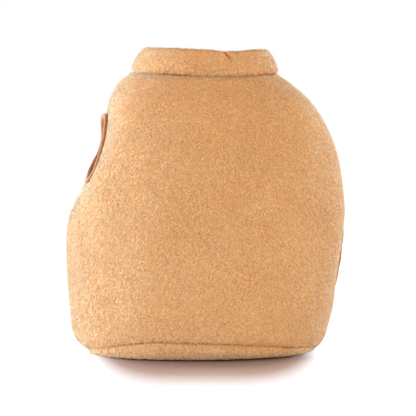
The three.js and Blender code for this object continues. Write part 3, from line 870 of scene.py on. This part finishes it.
def collar_section(turn, angle, margin):
    """A point of the collar's skin. It presses on the neck, so its underside comes lower."""
    margin = margin - COLLAR_PRESS * step(-0.75, -0.97, np.sin(angle))
    outward = unit(plump_normal(turn, 1 + 0 * turn) * [1, 1, 0])
    middle = wall_point(turn, 1 + 0 * turn, 0 * turn) - outward * COLLAR_INSET
    middle[..., 2] += GAP + COLLAR_HEIGHT / 2
    low = step(0.35, -0.35, np.sin(angle)) * step(-0.35, 0.35, np.cos(angle))
    power = 2 / (ROUNDNESS + (FULL_ROUNDNESS - ROUNDNESS) * low)
    across = np.sign(np.cos(angle)) * np.abs(np.cos(angle)) ** power
    rise = np.sign(np.sin(angle)) * np.abs(np.sin(angle)) ** power
    off = (COLLAR_THICKNESS / 2 - margin) * across - COLLAR_LEAN * rise
    point = middle + outward * off[..., None]
    point[..., 2] += (COLLAR_HEIGHT / 2 - margin) * rise
    return point


def slumped(points):
    """The rim has sunk at the far side, where the near one hides it, and waves elsewhere."""
    lift = lip_swell(np.arctan2(points[..., 1], points[..., 0]), RIM_SLUMP)
    return points + [0, 0, 1] * (lift * step(190, 202, points[..., 2]))[..., None]


def collar_cloth():
    columns = turns_round(COLLAR_COLUMNS)
    opening = COLLAR_OPENING / COLLAR_THICKNESS
    ends = opening - math.pi / 2, 1.5 * math.pi - opening
    outside = np.linspace(*ends, OUTSIDE_ROWS)
    inside = np.linspace(*ends[::-1], INSIDE_ROWS)
    depth = CLOTH_DEPTH * (1 - step(0.5, 0.95, np.sin(outside)))
    outer = collar_section(columns[:, None], outside[None], depth)
    heavy = lip_swell(columns, OVERHANG)[:, None]
    heavy = heavy * np.where(heavy < 0, step(-0.3, 0.5, np.cos(outside)), 1)
    outer[..., 2] -= heavy * step(0.2, -0.9, np.sin(outside))
    inner = collar_section(columns[:, None], inside[None], 0 * inside + FLEECE)
    piece = ring_layer("collar_cloth", slumped(np.concatenate([outer, inner], axis=1)))
    points = corners_of(piece)
    rows = OUTSIDE_ROWS + INSIDE_ROWS
    turn = np.repeat(columns, rows)
    angle = np.tile(np.concatenate([outside, inside]), COLLAR_COLUMNS)
    fine = np.tile(np.arange(rows) < OUTSIDE_ROWS, COLLAR_COLUMNS)
    joint = (turn - JOINT_TOP - JOINT_SLANT * (math.pi / 2 - angle)) * COLLAR_RADIUS
    groove = GROOVE_DEPTH * bell(joint, GROOVE_WIDTH) * step(-0.1, 0.7, angle)
    welt = JOINT_WELT * bell(joint - WELT_ASIDE, JOINT_WELT_WIDTH) * step(0.0, 0.9, angle)
    seam = step(0.0, 0.35, np.minimum(angle - outside[0], outside[-1] - angle))
    out = drifts(points, 51, *COLLAR_LUMPS) * seam + (welt - groove) * step(*JOINT_END, angle)
    points[fine] += (out[:, None] * normals_of(piece))[fine]
    move_corners(piece, points)
    # The joint's crease and the underside next to the neck grow no pile and are painted darker, as crease
    # shade, except round the left.
    shut = step(1.3, 0.6, np.abs(joint)) * step(-0.1, 0.6, angle) * step(*JOINT_END, angle)
    bare = step(-0.78, -1.12, angle) * (1 - seam_shade_hidden(turn))
    raise_nap(piece, fine, seam * (1 - shut) * (1 - bare), 53)
    dressed(piece, "collar_cover")
    return piece


collar = collar_cloth()

# %% [markdown]
# Once the pot is stuffed, the last stretch of the base's seam is closed by hand with a ladder
# stitch. The photograph shows its small dark pricks at the right. Each stitch is a short bar of
# thread over the seam, and the same bar is copied along it.

# %% Closing stitches
STITCHES, STITCH_PITCH, THREAD = 5, 2.0, 0.4
STITCH_START, SEAM_RADIUS = 1.5 * math.pi + 0.66, 88.0
STITCH_RISE, STITCH_DEPTH, STITCH_SHARE = 0.006, -0.6, 0.6


def stitch(turn):
    """One bar of thread, from below the seam to above it."""
    rise = base_seam_rise(turn)
    low, high = (wall_point(turn, rise + lift, np.array(STITCH_DEPTH))
                 for lift in (-STITCH_RISE, STITCH_RISE))
    outward = plump_normal(turn, rise)
    bpy.ops.mesh.primitive_uv_sphere_add(segments=10, ring_count=6, radius=1.0)
    bar = bpy.context.object
    length = np.linalg.norm(high - low)
    axis = (high - low) / length
    ways = np.array([np.cross(axis, outward) * THREAD, outward * THREAD,
                     axis * length * STITCH_SHARE])
    move_corners(bar, (low + high) / 2 + corners_of(bar) * MM @ ways)
    return bar


bars = [stitch(np.array(STITCH_START + k * STITCH_PITCH / SEAM_RADIUS)) for k in range(STITCHES)]
bpy.ops.object.select_all(action="DESELECT")
for bar in bars:
    bar.select_set(True)
bpy.context.view_layer.objects.active = bars[0]
bpy.ops.object.join()
stitches = bpy.context.object
stitches.name = "closing_stitches"
stitches.data.shade_smooth()
edited(stitches, bpy.ops.mesh.normals_make_consistent)
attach(stitches, "root")
print(stitches.name, "has", STITCHES, "bars of thread")

# %% [markdown]
# Close to, fleece is a lawn of fine short fibres, brushed mostly downwards, that cling together
# in wisps less than a millimetre thick. Particle hair could draw them but would leave no mesh,
# so each wisp is a small closed leaf of four faces. Most lie down and some stand up proud of
# the outline, where their pale tones, painted light as if light shone through them, help make
# its soft pale rim. Their shading leans on the cloth below, which keeps it calm.

# %% Pile
BRUSHED_SIZE, BRUSHED_TURN, WISP_TURN = 30.0, 0.45, 0.45
WISP_LENGTH, WISP_SLOPE, WISP_LEVEL, WISP_WIDTH = (1.2, 2.1), (0.2, 0.55), 0.85, (0.18, 0.32)
STRAY, STRAY_HEIGHT, STRAY_LEVEL, STRAY_LEAN, STRAY_WIDTH = 0.04, (0.8, 2.1), 0.25, 0.12, 0.06
ROOT_DEPTH, WISP_ARCH, WISP_WAIST, OFF_FLOOR = 0.25, 0.15, 0.45, 0.05
# The least pile number at which wisps grow, and at which some of them stand up.
PILE_FROM, STRAY_FROM = 0.45, 0.95
SHADE_LEAN, TONE_SPREAD = 0.22, 0.13
# What a wisp's root, two sides and tip add to its tone: painted shade at the root and painted light at the
# tip. A stray one has its own four pale tones, painted light as if light shone through it.
ROOT_SHADE_TIP_LIGHT, STRAY_GLOW_TONES = [[-0.25, 0.0, 0.0, 0.15]], [[0.6, 0.9, 0.9, 1.0]]
LEAF = [0, 2, 1], [0, 1, 3], [0, 3, 2], [1, 2, 3]


def grow_pile(name, cloth, per_mm2, seed, tone):
    mesh = cloth.data
    rng = np.random.default_rng(seed)
    mesh.calc_loop_triangles()
    tri = np.zeros(len(mesh.loop_triangles) * 3, np.int32)
    mesh.loop_triangles.foreach_get("vertices", tri)
    tri = tri.reshape(-1, 3)
    grown = get_numbers(cloth, "pile")
    tri = tri[(grown[tri] > PILE_FROM).all(axis=1)]
    points, normals = corners_of(cloth), normals_of(cloth)
    a, b, c = (points[tri[:, k]] for k in range(3))
    size = np.linalg.norm(np.cross(b - a, c - a), axis=1) / 2
    count = int(size.sum() * per_mm2)
    pick = rng.choice(len(tri), count, p=size / size.sum())
    u, v = rng.random((2, count, 1))
    u, v = np.where(u + v > 1, 1 - u, u), np.where(u + v > 1, 1 - v, v)
    root = a[pick] + u * (b - a)[pick] + v * (c - a)[pick]
    n = unit(normals[tri[pick]].mean(axis=1))
    side = unit(np.cross(n, [0.0, 0.02, 1.0]))
    swirl = BRUSHED_TURN * drift(root, BRUSHED_SIZE, seed) + rng.normal(0, WISP_TURN, count)
    swirl = swirl[:, None]
    lay = np.cross(n, side) * np.cos(swirl) + side * np.sin(swirl)
    grown = grown[tri[pick]].mean(axis=1)[:, None]
    stray = rng.random((count, 1)) < STRAY * (grown > STRAY_FROM)
    length = rng.uniform(*WISP_LENGTH, (count, 1))
    lying = n * length * rng.uniform(*WISP_SLOPE, (count, 1)) + lay * length * WISP_LEVEL
    standing = n * rng.uniform(*STRAY_HEIGHT, (count, 1)) + lay * STRAY_LEVEL
    standing += rng.normal(0, STRAY_LEAN, (count, 3))
    wide = np.where(stray, STRAY_WIDTH, rng.uniform(*WISP_WIDTH, (count, 1)))
    reach = np.where(stray, standing, lying)
    out = unit(np.cross(reach, n)) * wide
    foot, tip = root - n * ROOT_DEPTH, root + reach
    middle = root + reach * WISP_WAIST + n * WISP_ARCH
    left, right = middle - out, middle + out
    made = np.stack([foot, left, right, tip], axis=1)
    inside_out = (np.cross(left - foot, right - foot) * (tip - foot)).sum(axis=1) < 0
    made[inside_out] = made[inside_out][:, [0, 2, 1, 3]]
    made = made.reshape(-1, 3)
    made[:, 2] = np.maximum(made[:, 2], OFF_FLOOR)
    index = np.arange(count)[:, None] * 4
    piece = new_piece(name, made, np.concatenate([index + face for face in LEAF]).tolist())
    shade = unit(n + rng.normal(0, SHADE_LEAN, (count, 3)))
    piece.data.normals_split_custom_set_from_vertices(np.repeat(shade, 4, axis=0).tolist())
    # Wisps where the pile thins out towards a seam are darker: painted seam shade.
    bright = rng.normal(tone, TONE_SPREAD, (count, 1)) * grown
    tones = np.where(stray, STRAY_GLOW_TONES, bright + ROOT_SHADE_TIP_LIGHT)
    set_numbers(piece, "tone_and_painted_light", np.clip(tones, 0, 1).ravel())
    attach(piece, "root")
    print(name, "has", count, "wisps")
    return piece


# The base's wisps and the collar's get a lighter tone than the wall's: painted light, which brightens the
# base's under-curve and the collar.
PILE = [grow_pile(name, cloth, per_mm2, seed, tone) for name, cloth, per_mm2, seed, tone in (
    ("back_pile_a", back_cloth, 0.85, 61, 0.42),
    ("back_pile_b", back_cloth, 0.85, 62, 0.42),
    ("back_pile_c", back_cloth, 0.85, 63, 0.42),
    ("front_pile_a", front_cloth, 0.85, 64, 0.42),
    ("front_pile_b", front_cloth, 0.85, 65, 0.42),
    ("front_pile_c", front_cloth, 0.85, 66, 0.42),
    ("base_pile", base, 2.5, 67, 0.52),
    ("collar_pile_a", collar, 1.25, 68, 0.47),
    ("collar_pile_b", collar, 1.25, 69, 0.47),
)]

# %% [markdown]
# Fleece dyed tan takes its colour from the tone number. The number's deeper tones are painted
# shade in the hollows, at the wisps' roots and next to the seams, and its paler ones are painted
# light at the tips of the pile, as if light got into the fibres. A sheen brightens it where it
# turns away, as velvet does. A slow cloudiness follows how the pile was brushed, and a fine bump
# adds the fibres that are too small for the mesh.

# %% Fleece colour
WHITE = (255, 255, 255)


def from_photo(red, green, blue):
    """A screen colour, 0 to 255, as the linear one that shaders take."""
    screen = np.array([red, green, blue]) / 255
    linear = np.where(screen <= 0.04045, screen / 12.92, ((screen + 0.055) / 1.055) ** 2.4)
    return (*(float(x) for x in linear), 1.0)


def noise_at(tree, scale, detail=2.0):
    """Noise on the piece's own coordinates, with blobs of about one over scale metres."""
    place = fed(tree, "TexCoord", {}).outputs["Object"]
    made = fed(tree, "TexNoise", {"Vector": place, "Scale": scale, "Detail": detail})
    return made.outputs["Fac"]


def ramp(tree, value, *stops):
    """Turns a number into a colour. Each stop has its place and a screen colour."""
    made = fed(tree, "ValToRGB", {"Fac": value})
    while len(made.color_ramp.elements) < len(stops):
        made.color_ramp.elements.new(0.5)
    for element, (place, colour) in zip(made.color_ramp.elements, stops):
        element.position = place
        element.color = from_photo(*colour)
    return made.outputs["Color"]


def multiplied(tree, share, first, second):
    """One colour multiplied by a share of another."""
    made = tree.nodes.new("ShaderNodeMix")
    made.data_type = "RGBA"
    made.blend_type = "MULTIPLY"
    made.inputs[0].default_value = share
    colours = [socket for socket in made.inputs if socket.type == "RGBA"]
    for socket, value in zip(colours, (first, second)):
        tree.links.new(value, socket)
    return next(socket for socket in made.outputs if socket.type == "RGBA")


def new_finish(name, colour, settings, bump=None):
    """A material with a colour, plain settings and a bump: scale, detail, distance, strength."""
    made = bpy.data.materials.new(name)
    made.use_nodes = True
    tree = made.node_tree
    body = fed(tree, tree.nodes["Principled BSDF"], {"Base Color": colour(tree), **settings})
    if bump:
        scale, detail, distance, strength = bump
        raised = fed(tree, "Bump", {
            "Height": noise_at(tree, scale, detail), "Distance": distance, "Strength": strength})
        fed(tree, body, {"Normal": raised.outputs["Normal"]})
    return made


def give(finish, *pieces):
    for piece in pieces:
        piece.data.materials.clear()
        piece.data.materials.append(finish)
    print(finish.name, "is on", len(pieces), "pieces")


def fleece_colour(tree):
    tone_and_painted_light = tree.nodes.new("ShaderNodeAttribute")
    tone_and_painted_light.attribute_name = "tone_and_painted_light"
    # Deep tones are painted shade in the hollows and at the seams, and pale tones are painted light at the
    # tips and on the stray wisps.
    depth = ramp(tree, tone_and_painted_light.outputs["Fac"], (0.0, (128, 70, 36)), (0.08, (176, 110, 60)),
                 (0.4, (228, 166, 108)), (0.75, (246, 199, 146)), (1.0, (253, 224, 188)))
    cloudy = ramp(tree, noise_at(tree, 26.0), (0.3, (246, 238, 228)), (0.7, WHITE))
    return multiplied(tree, 0.7, depth, cloudy)


def fleece_finish(name, sheen, glow_through):
    return new_finish(name, fleece_colour, {
        "Roughness": 0.95, "Specular IOR Level": 0.1,
        "Sheen Weight": sheen, "Sheen Roughness": 0.4, "Sheen Tint": from_photo(255, 242, 232),
        "Subsurface Weight": glow_through, "Subsurface Radius": (0.0012, 0.0009, 0.0007),
        "Subsurface Scale": 1.0}, (1500.0, 3.0, 0.0003, 0.3))


thread = new_finish("tan_thread", lambda tree: ramp(
    tree, noise_at(tree, 1800.0), (0.3, (120, 74, 44)), (0.7, (156, 104, 66))), {"Roughness": 0.8})
give(fleece_finish("tan_fleece", 0.05, 0.0), back_cloth, front_cloth, base, collar)
give(fleece_finish("tan_fleece_fibres", 0.5, 0.5), *PILE)
give(thread, stitches)

# %% [markdown]
# The holes are bound with brown suede cloth that goes through the wall and rolls over the
# fleece. A torus would be too even: the real lip is soft, stands up unevenly and flares where
# nothing holds it. So the binding is swept round the hole along the wall's own surface, and
# its height changes on the way.

# %% Bound lips of the holes
LIP, LIP_WAVE, WAVE_REACH, ROLL, SEAT, LIP_STEPS = 2.1, 0.28, 2.6, 1.3, 0.5, 120
LIP_CRUMPLES = (0.16, 5.0), (0.07, 1.6)
LIP_SECTION = np.array([
    [0.0, 0.0, 0.33], [0.1, 0.0, 0.68], [0.35, 0.0, 0.93], [0.7, 0.0, 1.0], [1.0, 0.35, 0.96],
    [1.0, 0.8, 0.8], [1.0, 1.0, 0.5], [1.0, 0.85, 0.28]])
# How the lips flare, as lip_swell reads it.
LEFT_FLARES = [
    (40.0, 30.0, 0.7), (122.0, 26.0, 2.2), (176.0, 26.0, -0.9), (225.0, 24.0, 0.5),
    (-35.0, 34.0, 0.9)]
RIGHT_FLARES = [(-40.0, 30.0, 0.8)]


def subdivided(piece, kind, levels):
    bpy.context.view_layer.objects.active = piece
    smooth = piece.modifiers.new("soft", "SUBSURF")
    smooth.subdivision_type = kind
    smooth.levels = smooth.render_levels = levels
    bpy.ops.object.modifier_apply(modifier="soft")


def facing_cloth(name, node, h, flares, seed):
    angle = -turns_round(LIP_STEPS)
    ring = joined(np.cos(angle), np.sin(angle), 0 * angle)
    wave = drift(ring * WAVE_REACH, 1.0, seed)
    height = LIP * (1 + LIP_WAVE * wave) + lip_swell(angle, flares)
    sink = lip_swell(angle, h["sinks"])
    start_turn = np.full(LIP_STEPS, math.atan2(h["level"][1], h["level"][0]))
    start_rise = np.full(LIP_STEPS, float(rise_at_height(h["height"])))
    inside = [lambda r: lining_back(r) + LIP / 2, lambda r: lining_back(r) * 0.66,
              lambda r: lining_back(r) / 3]
    sections = [(0.0, depth) for depth in inside]
    sections += [(FACING * f + ROLL * r, lambda x, s=s: sink - height * s)
                 for f, r, s in LIP_SECTION]
    sections += [(FACING + ROLL * 0.6, lambda r: sink - SEAT),
                 (FACING, lambda r: sink - SEAT * 0.6)]
    sections += [(FACING, depth) for depth in inside[::-1]]
    loops = []
    for margin, depth in sections:
        across = (HOLE_WIDTH / 2 + margin) * np.cos(angle)
        up = (HOLE_HEIGHT / 2 + margin) * np.sin(angle)
        turn, rise = wall_crossing(h, across, up, depth, start_turn, start_rise)
        loops.append(wall_point(turn, rise, depth(rise)))
    piece = ring_layer(name, np.stack(loops, axis=1))
    subdivided(piece, "CATMULL_CLARK", 1)
    points = corners_of(piece)
    crumple = drifts(points, seed + 1, *LIP_CRUMPLES)
    move_corners(piece, points + normals_of(piece) * crumple[:, None])
    dressed(piece, node)
    print(name, "has", len(piece.data.polygons), "faces")
    return piece


left_facing = facing_cloth("left_hole_binding", "left_hole_facing", HOLES[0], LEFT_FLARES, 71)
right_facing = facing_cloth("right_hole_binding", "right_hole_facing", HOLES[1], RIGHT_FLARES, 75)

# %% [markdown]
# The lining hangs a little loose inside the stuffing, so it shows shallow folds through the
# mouth and the holes. Folds may only stand into the hollow, because the stuffing is right
# behind. At the neck it reaches up a little to the collar.

# %% Linings
LINING_SLACK, LINING_REACH = 1.5, 2.8
LINING_RADIUS = 80.0
PAD_EDGE = 26.0


def pad_edge_rise(turn):
    return 0 * turn + float(rise_at_height(PAD_EDGE))


def lining_cloth(name, node, half, seed):
    piece, front = wall_layer(name, half, pad_edge_rise, lining_front, lining_back)
    fine = refine(piece, front, front, 1)
    turn, rise = get_numbers(piece, "turn"), get_numbers(piece, "rise")
    smooth = wall_point(turn, rise, 0 * rise)
    from_neck = LENGTHS[-1] - length_at(rise)
    edges = [length_at(rise) - length_at(pad_edge_rise(turn)), from_neck,
             np.minimum(turn - half[0], half[1] - turn) * LINING_RADIUS]
    edges += [past_hole(h, smooth) for h in HOLES]
    away = step(0, 9, np.min(edges, axis=0))
    folds = 0.5 + 0.5 * drift(smooth * [1, 1, 0.45], 12.0, seed)
    folds += 0.3 * drift(smooth, 6.0, seed + 1)
    slack = LINING_SLACK * np.clip(folds, 0, 1.3) * away
    points = corners_of(piece)
    points[fine] = wall_point(turn, rise, lining_back(rise) + slack)[fine]
    points[:, 2] += LINING_REACH * step(7, 0, from_neck)
    move_corners(piece, points)
    dressed(piece, node)
    return piece


back_lining = lining_cloth("back_lining_cloth", "back_lining", BACK_HALF, 81)
front_lining = lining_cloth("front_lining_cloth", "front_lining", FRONT_HALF, 84)

# %% [markdown]
# The floor's lining lies over the stuffed pad, which is level over the squeaker and slopes
# down to the wall. It is cut as one oval and laid in, so its folds run in no one direction.
# When the squeaker is pressed, the middle goes down with it and the rim stays at the wall.

# %% Floor lining
SQUEAKER_FLOOR, SQUEAKER_HEIGHT, SQUEAKER_RADIUS = 8.2, 22.0, 25.0
CROWN, CROWN_RISE, POUCH, POUCH_CLEARANCE, POCKET_MARGIN = 1.0, 0.9, 0.7, 0.8, 1.5
LID_TOP = SQUEAKER_FLOOR + SQUEAKER_HEIGHT + GAP + CROWN + GAP + CROWN_RISE + POUCH
LEVEL_RADIUS = SQUEAKER_RADIUS + POUCH_CLEARANCE + POUCH + GAP + POCKET_MARGIN
PAD_TOP_RISE = float(rise_at_height(PAD_EDGE - GAP))
FLOOR_COLUMNS, SLOPE_ROWS, LEVEL_ROWS, RIM_ROWS = 200, 24, 12, 6
UNDER_SLOPE_STEP, UNDER_LEVEL_STEP = 6, 5
FLOOR_SLACK, FLOOR_FOLDS = 1.3, ((0.5, 16.0), (0.35, 7.0))


def pad_top(turn, share, depth, lift):
    """Points over the pad, from its edge at share 0 to the level middle at 1."""
    full_depth = lining_back(PAD_TOP_RISE)
    edge = wall_point(turn, PAD_TOP_RISE + 0 * turn, full_depth + 0 * turn)
    start = wall_point(turn, PAD_TOP_RISE + 0 * turn, depth + 0 * turn)
    full, begin = np.hypot(edge[..., 0], edge[..., 1]), np.hypot(start[..., 0], start[..., 1])
    radius = begin + (LEVEL_RADIUS - begin) * share
    up = step(0, 1, (full - radius) / (full - LEVEL_RADIUS))
    height = edge[..., 2] + (LID_TOP - edge[..., 2]) * up + lift
    return joined(edge[..., 0] / full * radius, edge[..., 1] / full * radius, height)


def floor_cloth():
    columns = turns_round(FLOOR_COLUMNS)[:, None]
    depth = float(lining_back(PAD_TOP_RISE)) + GAP
    share = np.linspace(0, 1, SLOPE_ROWS)[None]
    under = pad_top(columns, share[:, ::UNDER_SLOPE_STEP], depth, GAP)
    over = pad_top(columns, share, depth, GAP + LINING)
    tight = np.linspace(1, 0, LEVEL_ROWS)[None, 1:, None]
    inner = over[:, -1:] * tight
    inner[..., 2] = LID_TOP + GAP + LINING
    bottom = under[:, -1:] * tight[:, ::UNDER_LEVEL_STEP]
    bottom[..., 2] = LID_TOP + GAP
    loops = np.concatenate([over, inner, bottom[:, ::-1], under[:, ::-1]], axis=1)
    piece = ring_layer("floor_lining_cloth", loops)
    points = corners_of(piece)
    row = np.tile(np.arange(loops.shape[1]), FLOOR_COLUMNS)
    top = row < SLOPE_ROWS + LEVEL_ROWS - 1
    folds = 0.5 + drifts(points, 91, *FLOOR_FOLDS)
    loose = np.minimum(row, RIM_ROWS) / RIM_ROWS
    points[top, 2] += (FLOOR_SLACK * np.clip(folds, 0, 1.2) * loose)[top]
    move_corners(piece, points)
    close_middle(piece)
    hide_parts("floor_lining")
    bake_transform(piece, "root", "crown", start=(0, 0, 0.0285), end=(0, 0, (LID_TOP + GAP) * MM))
    return piece


floor_lining = floor_cloth()

# %% [markdown]
# Suede cloth is a brushed knit. Its colour shifts in soft patches where the nap was stroked
# one way or the other, and a fine bump shows the brushed fibres. A weave pattern would be
# wrong here, because no thread shows on the photograph's lips.

# %% Suede colour
def suede_colour(tree):
    patches = ramp(tree, noise_at(tree, 70.0, 4.0),
                   (0.3, (132, 86, 54)), (0.52, (156, 106, 69)), (0.75, (176, 125, 84)))
    grain = ramp(tree, noise_at(tree, 1400.0), (0.3, (222, 214, 206)), (0.7, WHITE))
    return multiplied(tree, 0.7, patches, grain)


suede = new_finish("brown_suede", suede_colour, {
    "Roughness": 0.85, "Specular IOR Level": 0.25, "Sheen Weight": 0.12, "Sheen Roughness": 0.4,
    "Sheen Tint": from_photo(255, 226, 204)}, (1100.0, 3.0, 0.0002, 0.5))
give(suede, left_facing, right_facing, back_lining, front_lining, floor_lining)

# %% [markdown]
# The stuffing is never seen unless the toy is opened, but it is what the cloth rests on. Each
# filling keeps its construction's form and gets the soft lumps of teased polyester, drawn a
# little inwards so that it never comes through the cloth. At the neck it stops short of the
# seam, because it would show white between the lining and the collar.

# %% Stuffing
FILLING_DEPTH = FLEECE + GAP
NECK_SHY, NECK_SHY_LENGTH = 6.0, 25.0
COLLAR_VOXEL, PAD_VOXEL = 0.0016, 0.0022
FIBRE_DEPTH, FIBRE_LUMPS = 0.35, ((0.225, 5.0), (0.125, 11.0))
stuffing = new_finish("polyester_fibre", lambda tree: ramp(
    tree, noise_at(tree, 180.0, 4.0), (0.3, (226, 222, 212)), (0.7, (248, 246, 240))),
    {"Roughness": 1.0, "Sheen Weight": 0.3}, (700.0, 4.0, 0.0006, 0.8))


def soften(piece, node, seed):
    points = corners_of(piece)
    inward = FIBRE_DEPTH + drifts(points, seed, *FIBRE_LUMPS)
    move_corners(piece, points - normals_of(piece) * np.clip(inward, 0, 0.9)[:, None])
    give(stuffing, piece)
    dressed(piece, node)
    print(piece.name, "has", len(piece.data.polygons), "faces")


def wall_stuffing(name, node, half, seed):
    piece, _ = wall_layer(name, half, pad_edge_rise, lambda r: 0 * r + FILLING_DEPTH, filling_back)
    turn, rise = get_numbers(piece, "turn"), get_numbers(piece, "rise")
    length = length_at(rise)
    shy = NECK_SHY * step(LENGTHS[-1] - NECK_SHY_LENGTH, LENGTHS[-1], length)
    rise = rise_at(length - shy)
    outer = np.arange(len(rise)) < len(rise) / 2
    depth = np.where(outer, FILLING_DEPTH, filling_back(rise))
    move_corners(piece, wall_point(turn, rise, depth))
    soften(piece, node, seed)


def copied_node(name, node):
    """A merged copy of a construction solid, as a start for a soft piece."""
    piece = bpy.data.objects.new(name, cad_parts[node].data.copy())
    bpy.context.collection.objects.link(piece)
    edited(piece, merge_corners)
    piece.data.shade_smooth()
    return piece


def remeshed(piece, voxel):
    bpy.context.view_layer.objects.active = piece
    even = piece.modifiers.new("even", "REMESH")
    even.mode = "VOXEL"
    even.voxel_size = voxel
    bpy.ops.object.modifier_apply(modifier="even")
    piece.data.shade_smooth()


wall_stuffing("back_stuffing", "back_filling", BACK_HALF, 101)
wall_stuffing("front_stuffing", "front_filling", FRONT_HALF, 103)
ring = copied_node("collar_stuffing", "collar_filling")
remeshed(ring, COLLAR_VOXEL)
move_corners(ring, slumped(corners_of(ring)))
soften(ring, "collar_filling", 105)
pad = copied_node("floor_pad_stuffing", "floor_pad")
remeshed(pad, PAD_VOXEL)
soften(pad, "floor_pad", 107)
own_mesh(pad)

# %% [markdown]
# The squeaker lies in a pouch of thin non-woven cloth, so that its hard plastic doesn't rub
# through the stuffing. The pouch is a copy of its construction with a slight crumple. The
# plastic pieces are already right, so they keep their meshes and only get better finishes.

# %% Pouch and squeaker
pouch = new_finish("nonwoven_pouch", lambda tree: ramp(
    tree, noise_at(tree, 900.0, 3.0), (0.35, (205, 202, 192)), (0.65, (236, 234, 226))),
    {"Roughness": 0.9}, (1600.0, 2.0, 0.0002, 0.6))


def pouch_cloth(name, node, body, seed):
    piece = copied_node(name, node)
    subdivided(piece, "SIMPLE", 2)
    points = corners_of(piece)
    crumple = 0.18 * drift(points, 4.0, seed)[:, None]
    move_corners(piece, points + crumple * unit(points * [1, 1, 0]))
    give(pouch, piece)
    dressed(piece, node, body)
    return piece


def plastic_finish(name, low, high, roughness):
    return new_finish(name, lambda tree: ramp(
        tree, noise_at(tree, 60.0, 3.0), (0.3, low), (0.7, high)),
        {"Roughness": roughness, "Subsurface Weight": 0.15,
         "Subsurface Radius": (0.002, 0.002, 0.0015)}, (500.0, 2.0, 0.0001, 0.25))


cup = pouch_cloth(
    "pouch_cup_cloth", "pouch_cup", "root", 111)
pouch_cloth("pouch_lid_cloth", "pouch_lid", "crown", 113)
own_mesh(cup)

blown = plastic_finish("blown_plastic", (232, 226, 208), (244, 240, 226), 0.38)
moulded = plastic_finish("moulded_plastic", (240, 238, 232), (250, 249, 245), 0.28)
film = plastic_finish("reed_film", (196, 210, 216), (222, 232, 236), 0.15)
for node, finish in (("squeaker_bellows", blown), ("squeaker_crown", blown),
                     ("whistle_barrel", moulded), ("whistle_plug", moulded),
                     ("whistle_reed", film)):
    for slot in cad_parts[node].material_slots:
        slot.material = finish
    print(node, "is finished as", finish.name)
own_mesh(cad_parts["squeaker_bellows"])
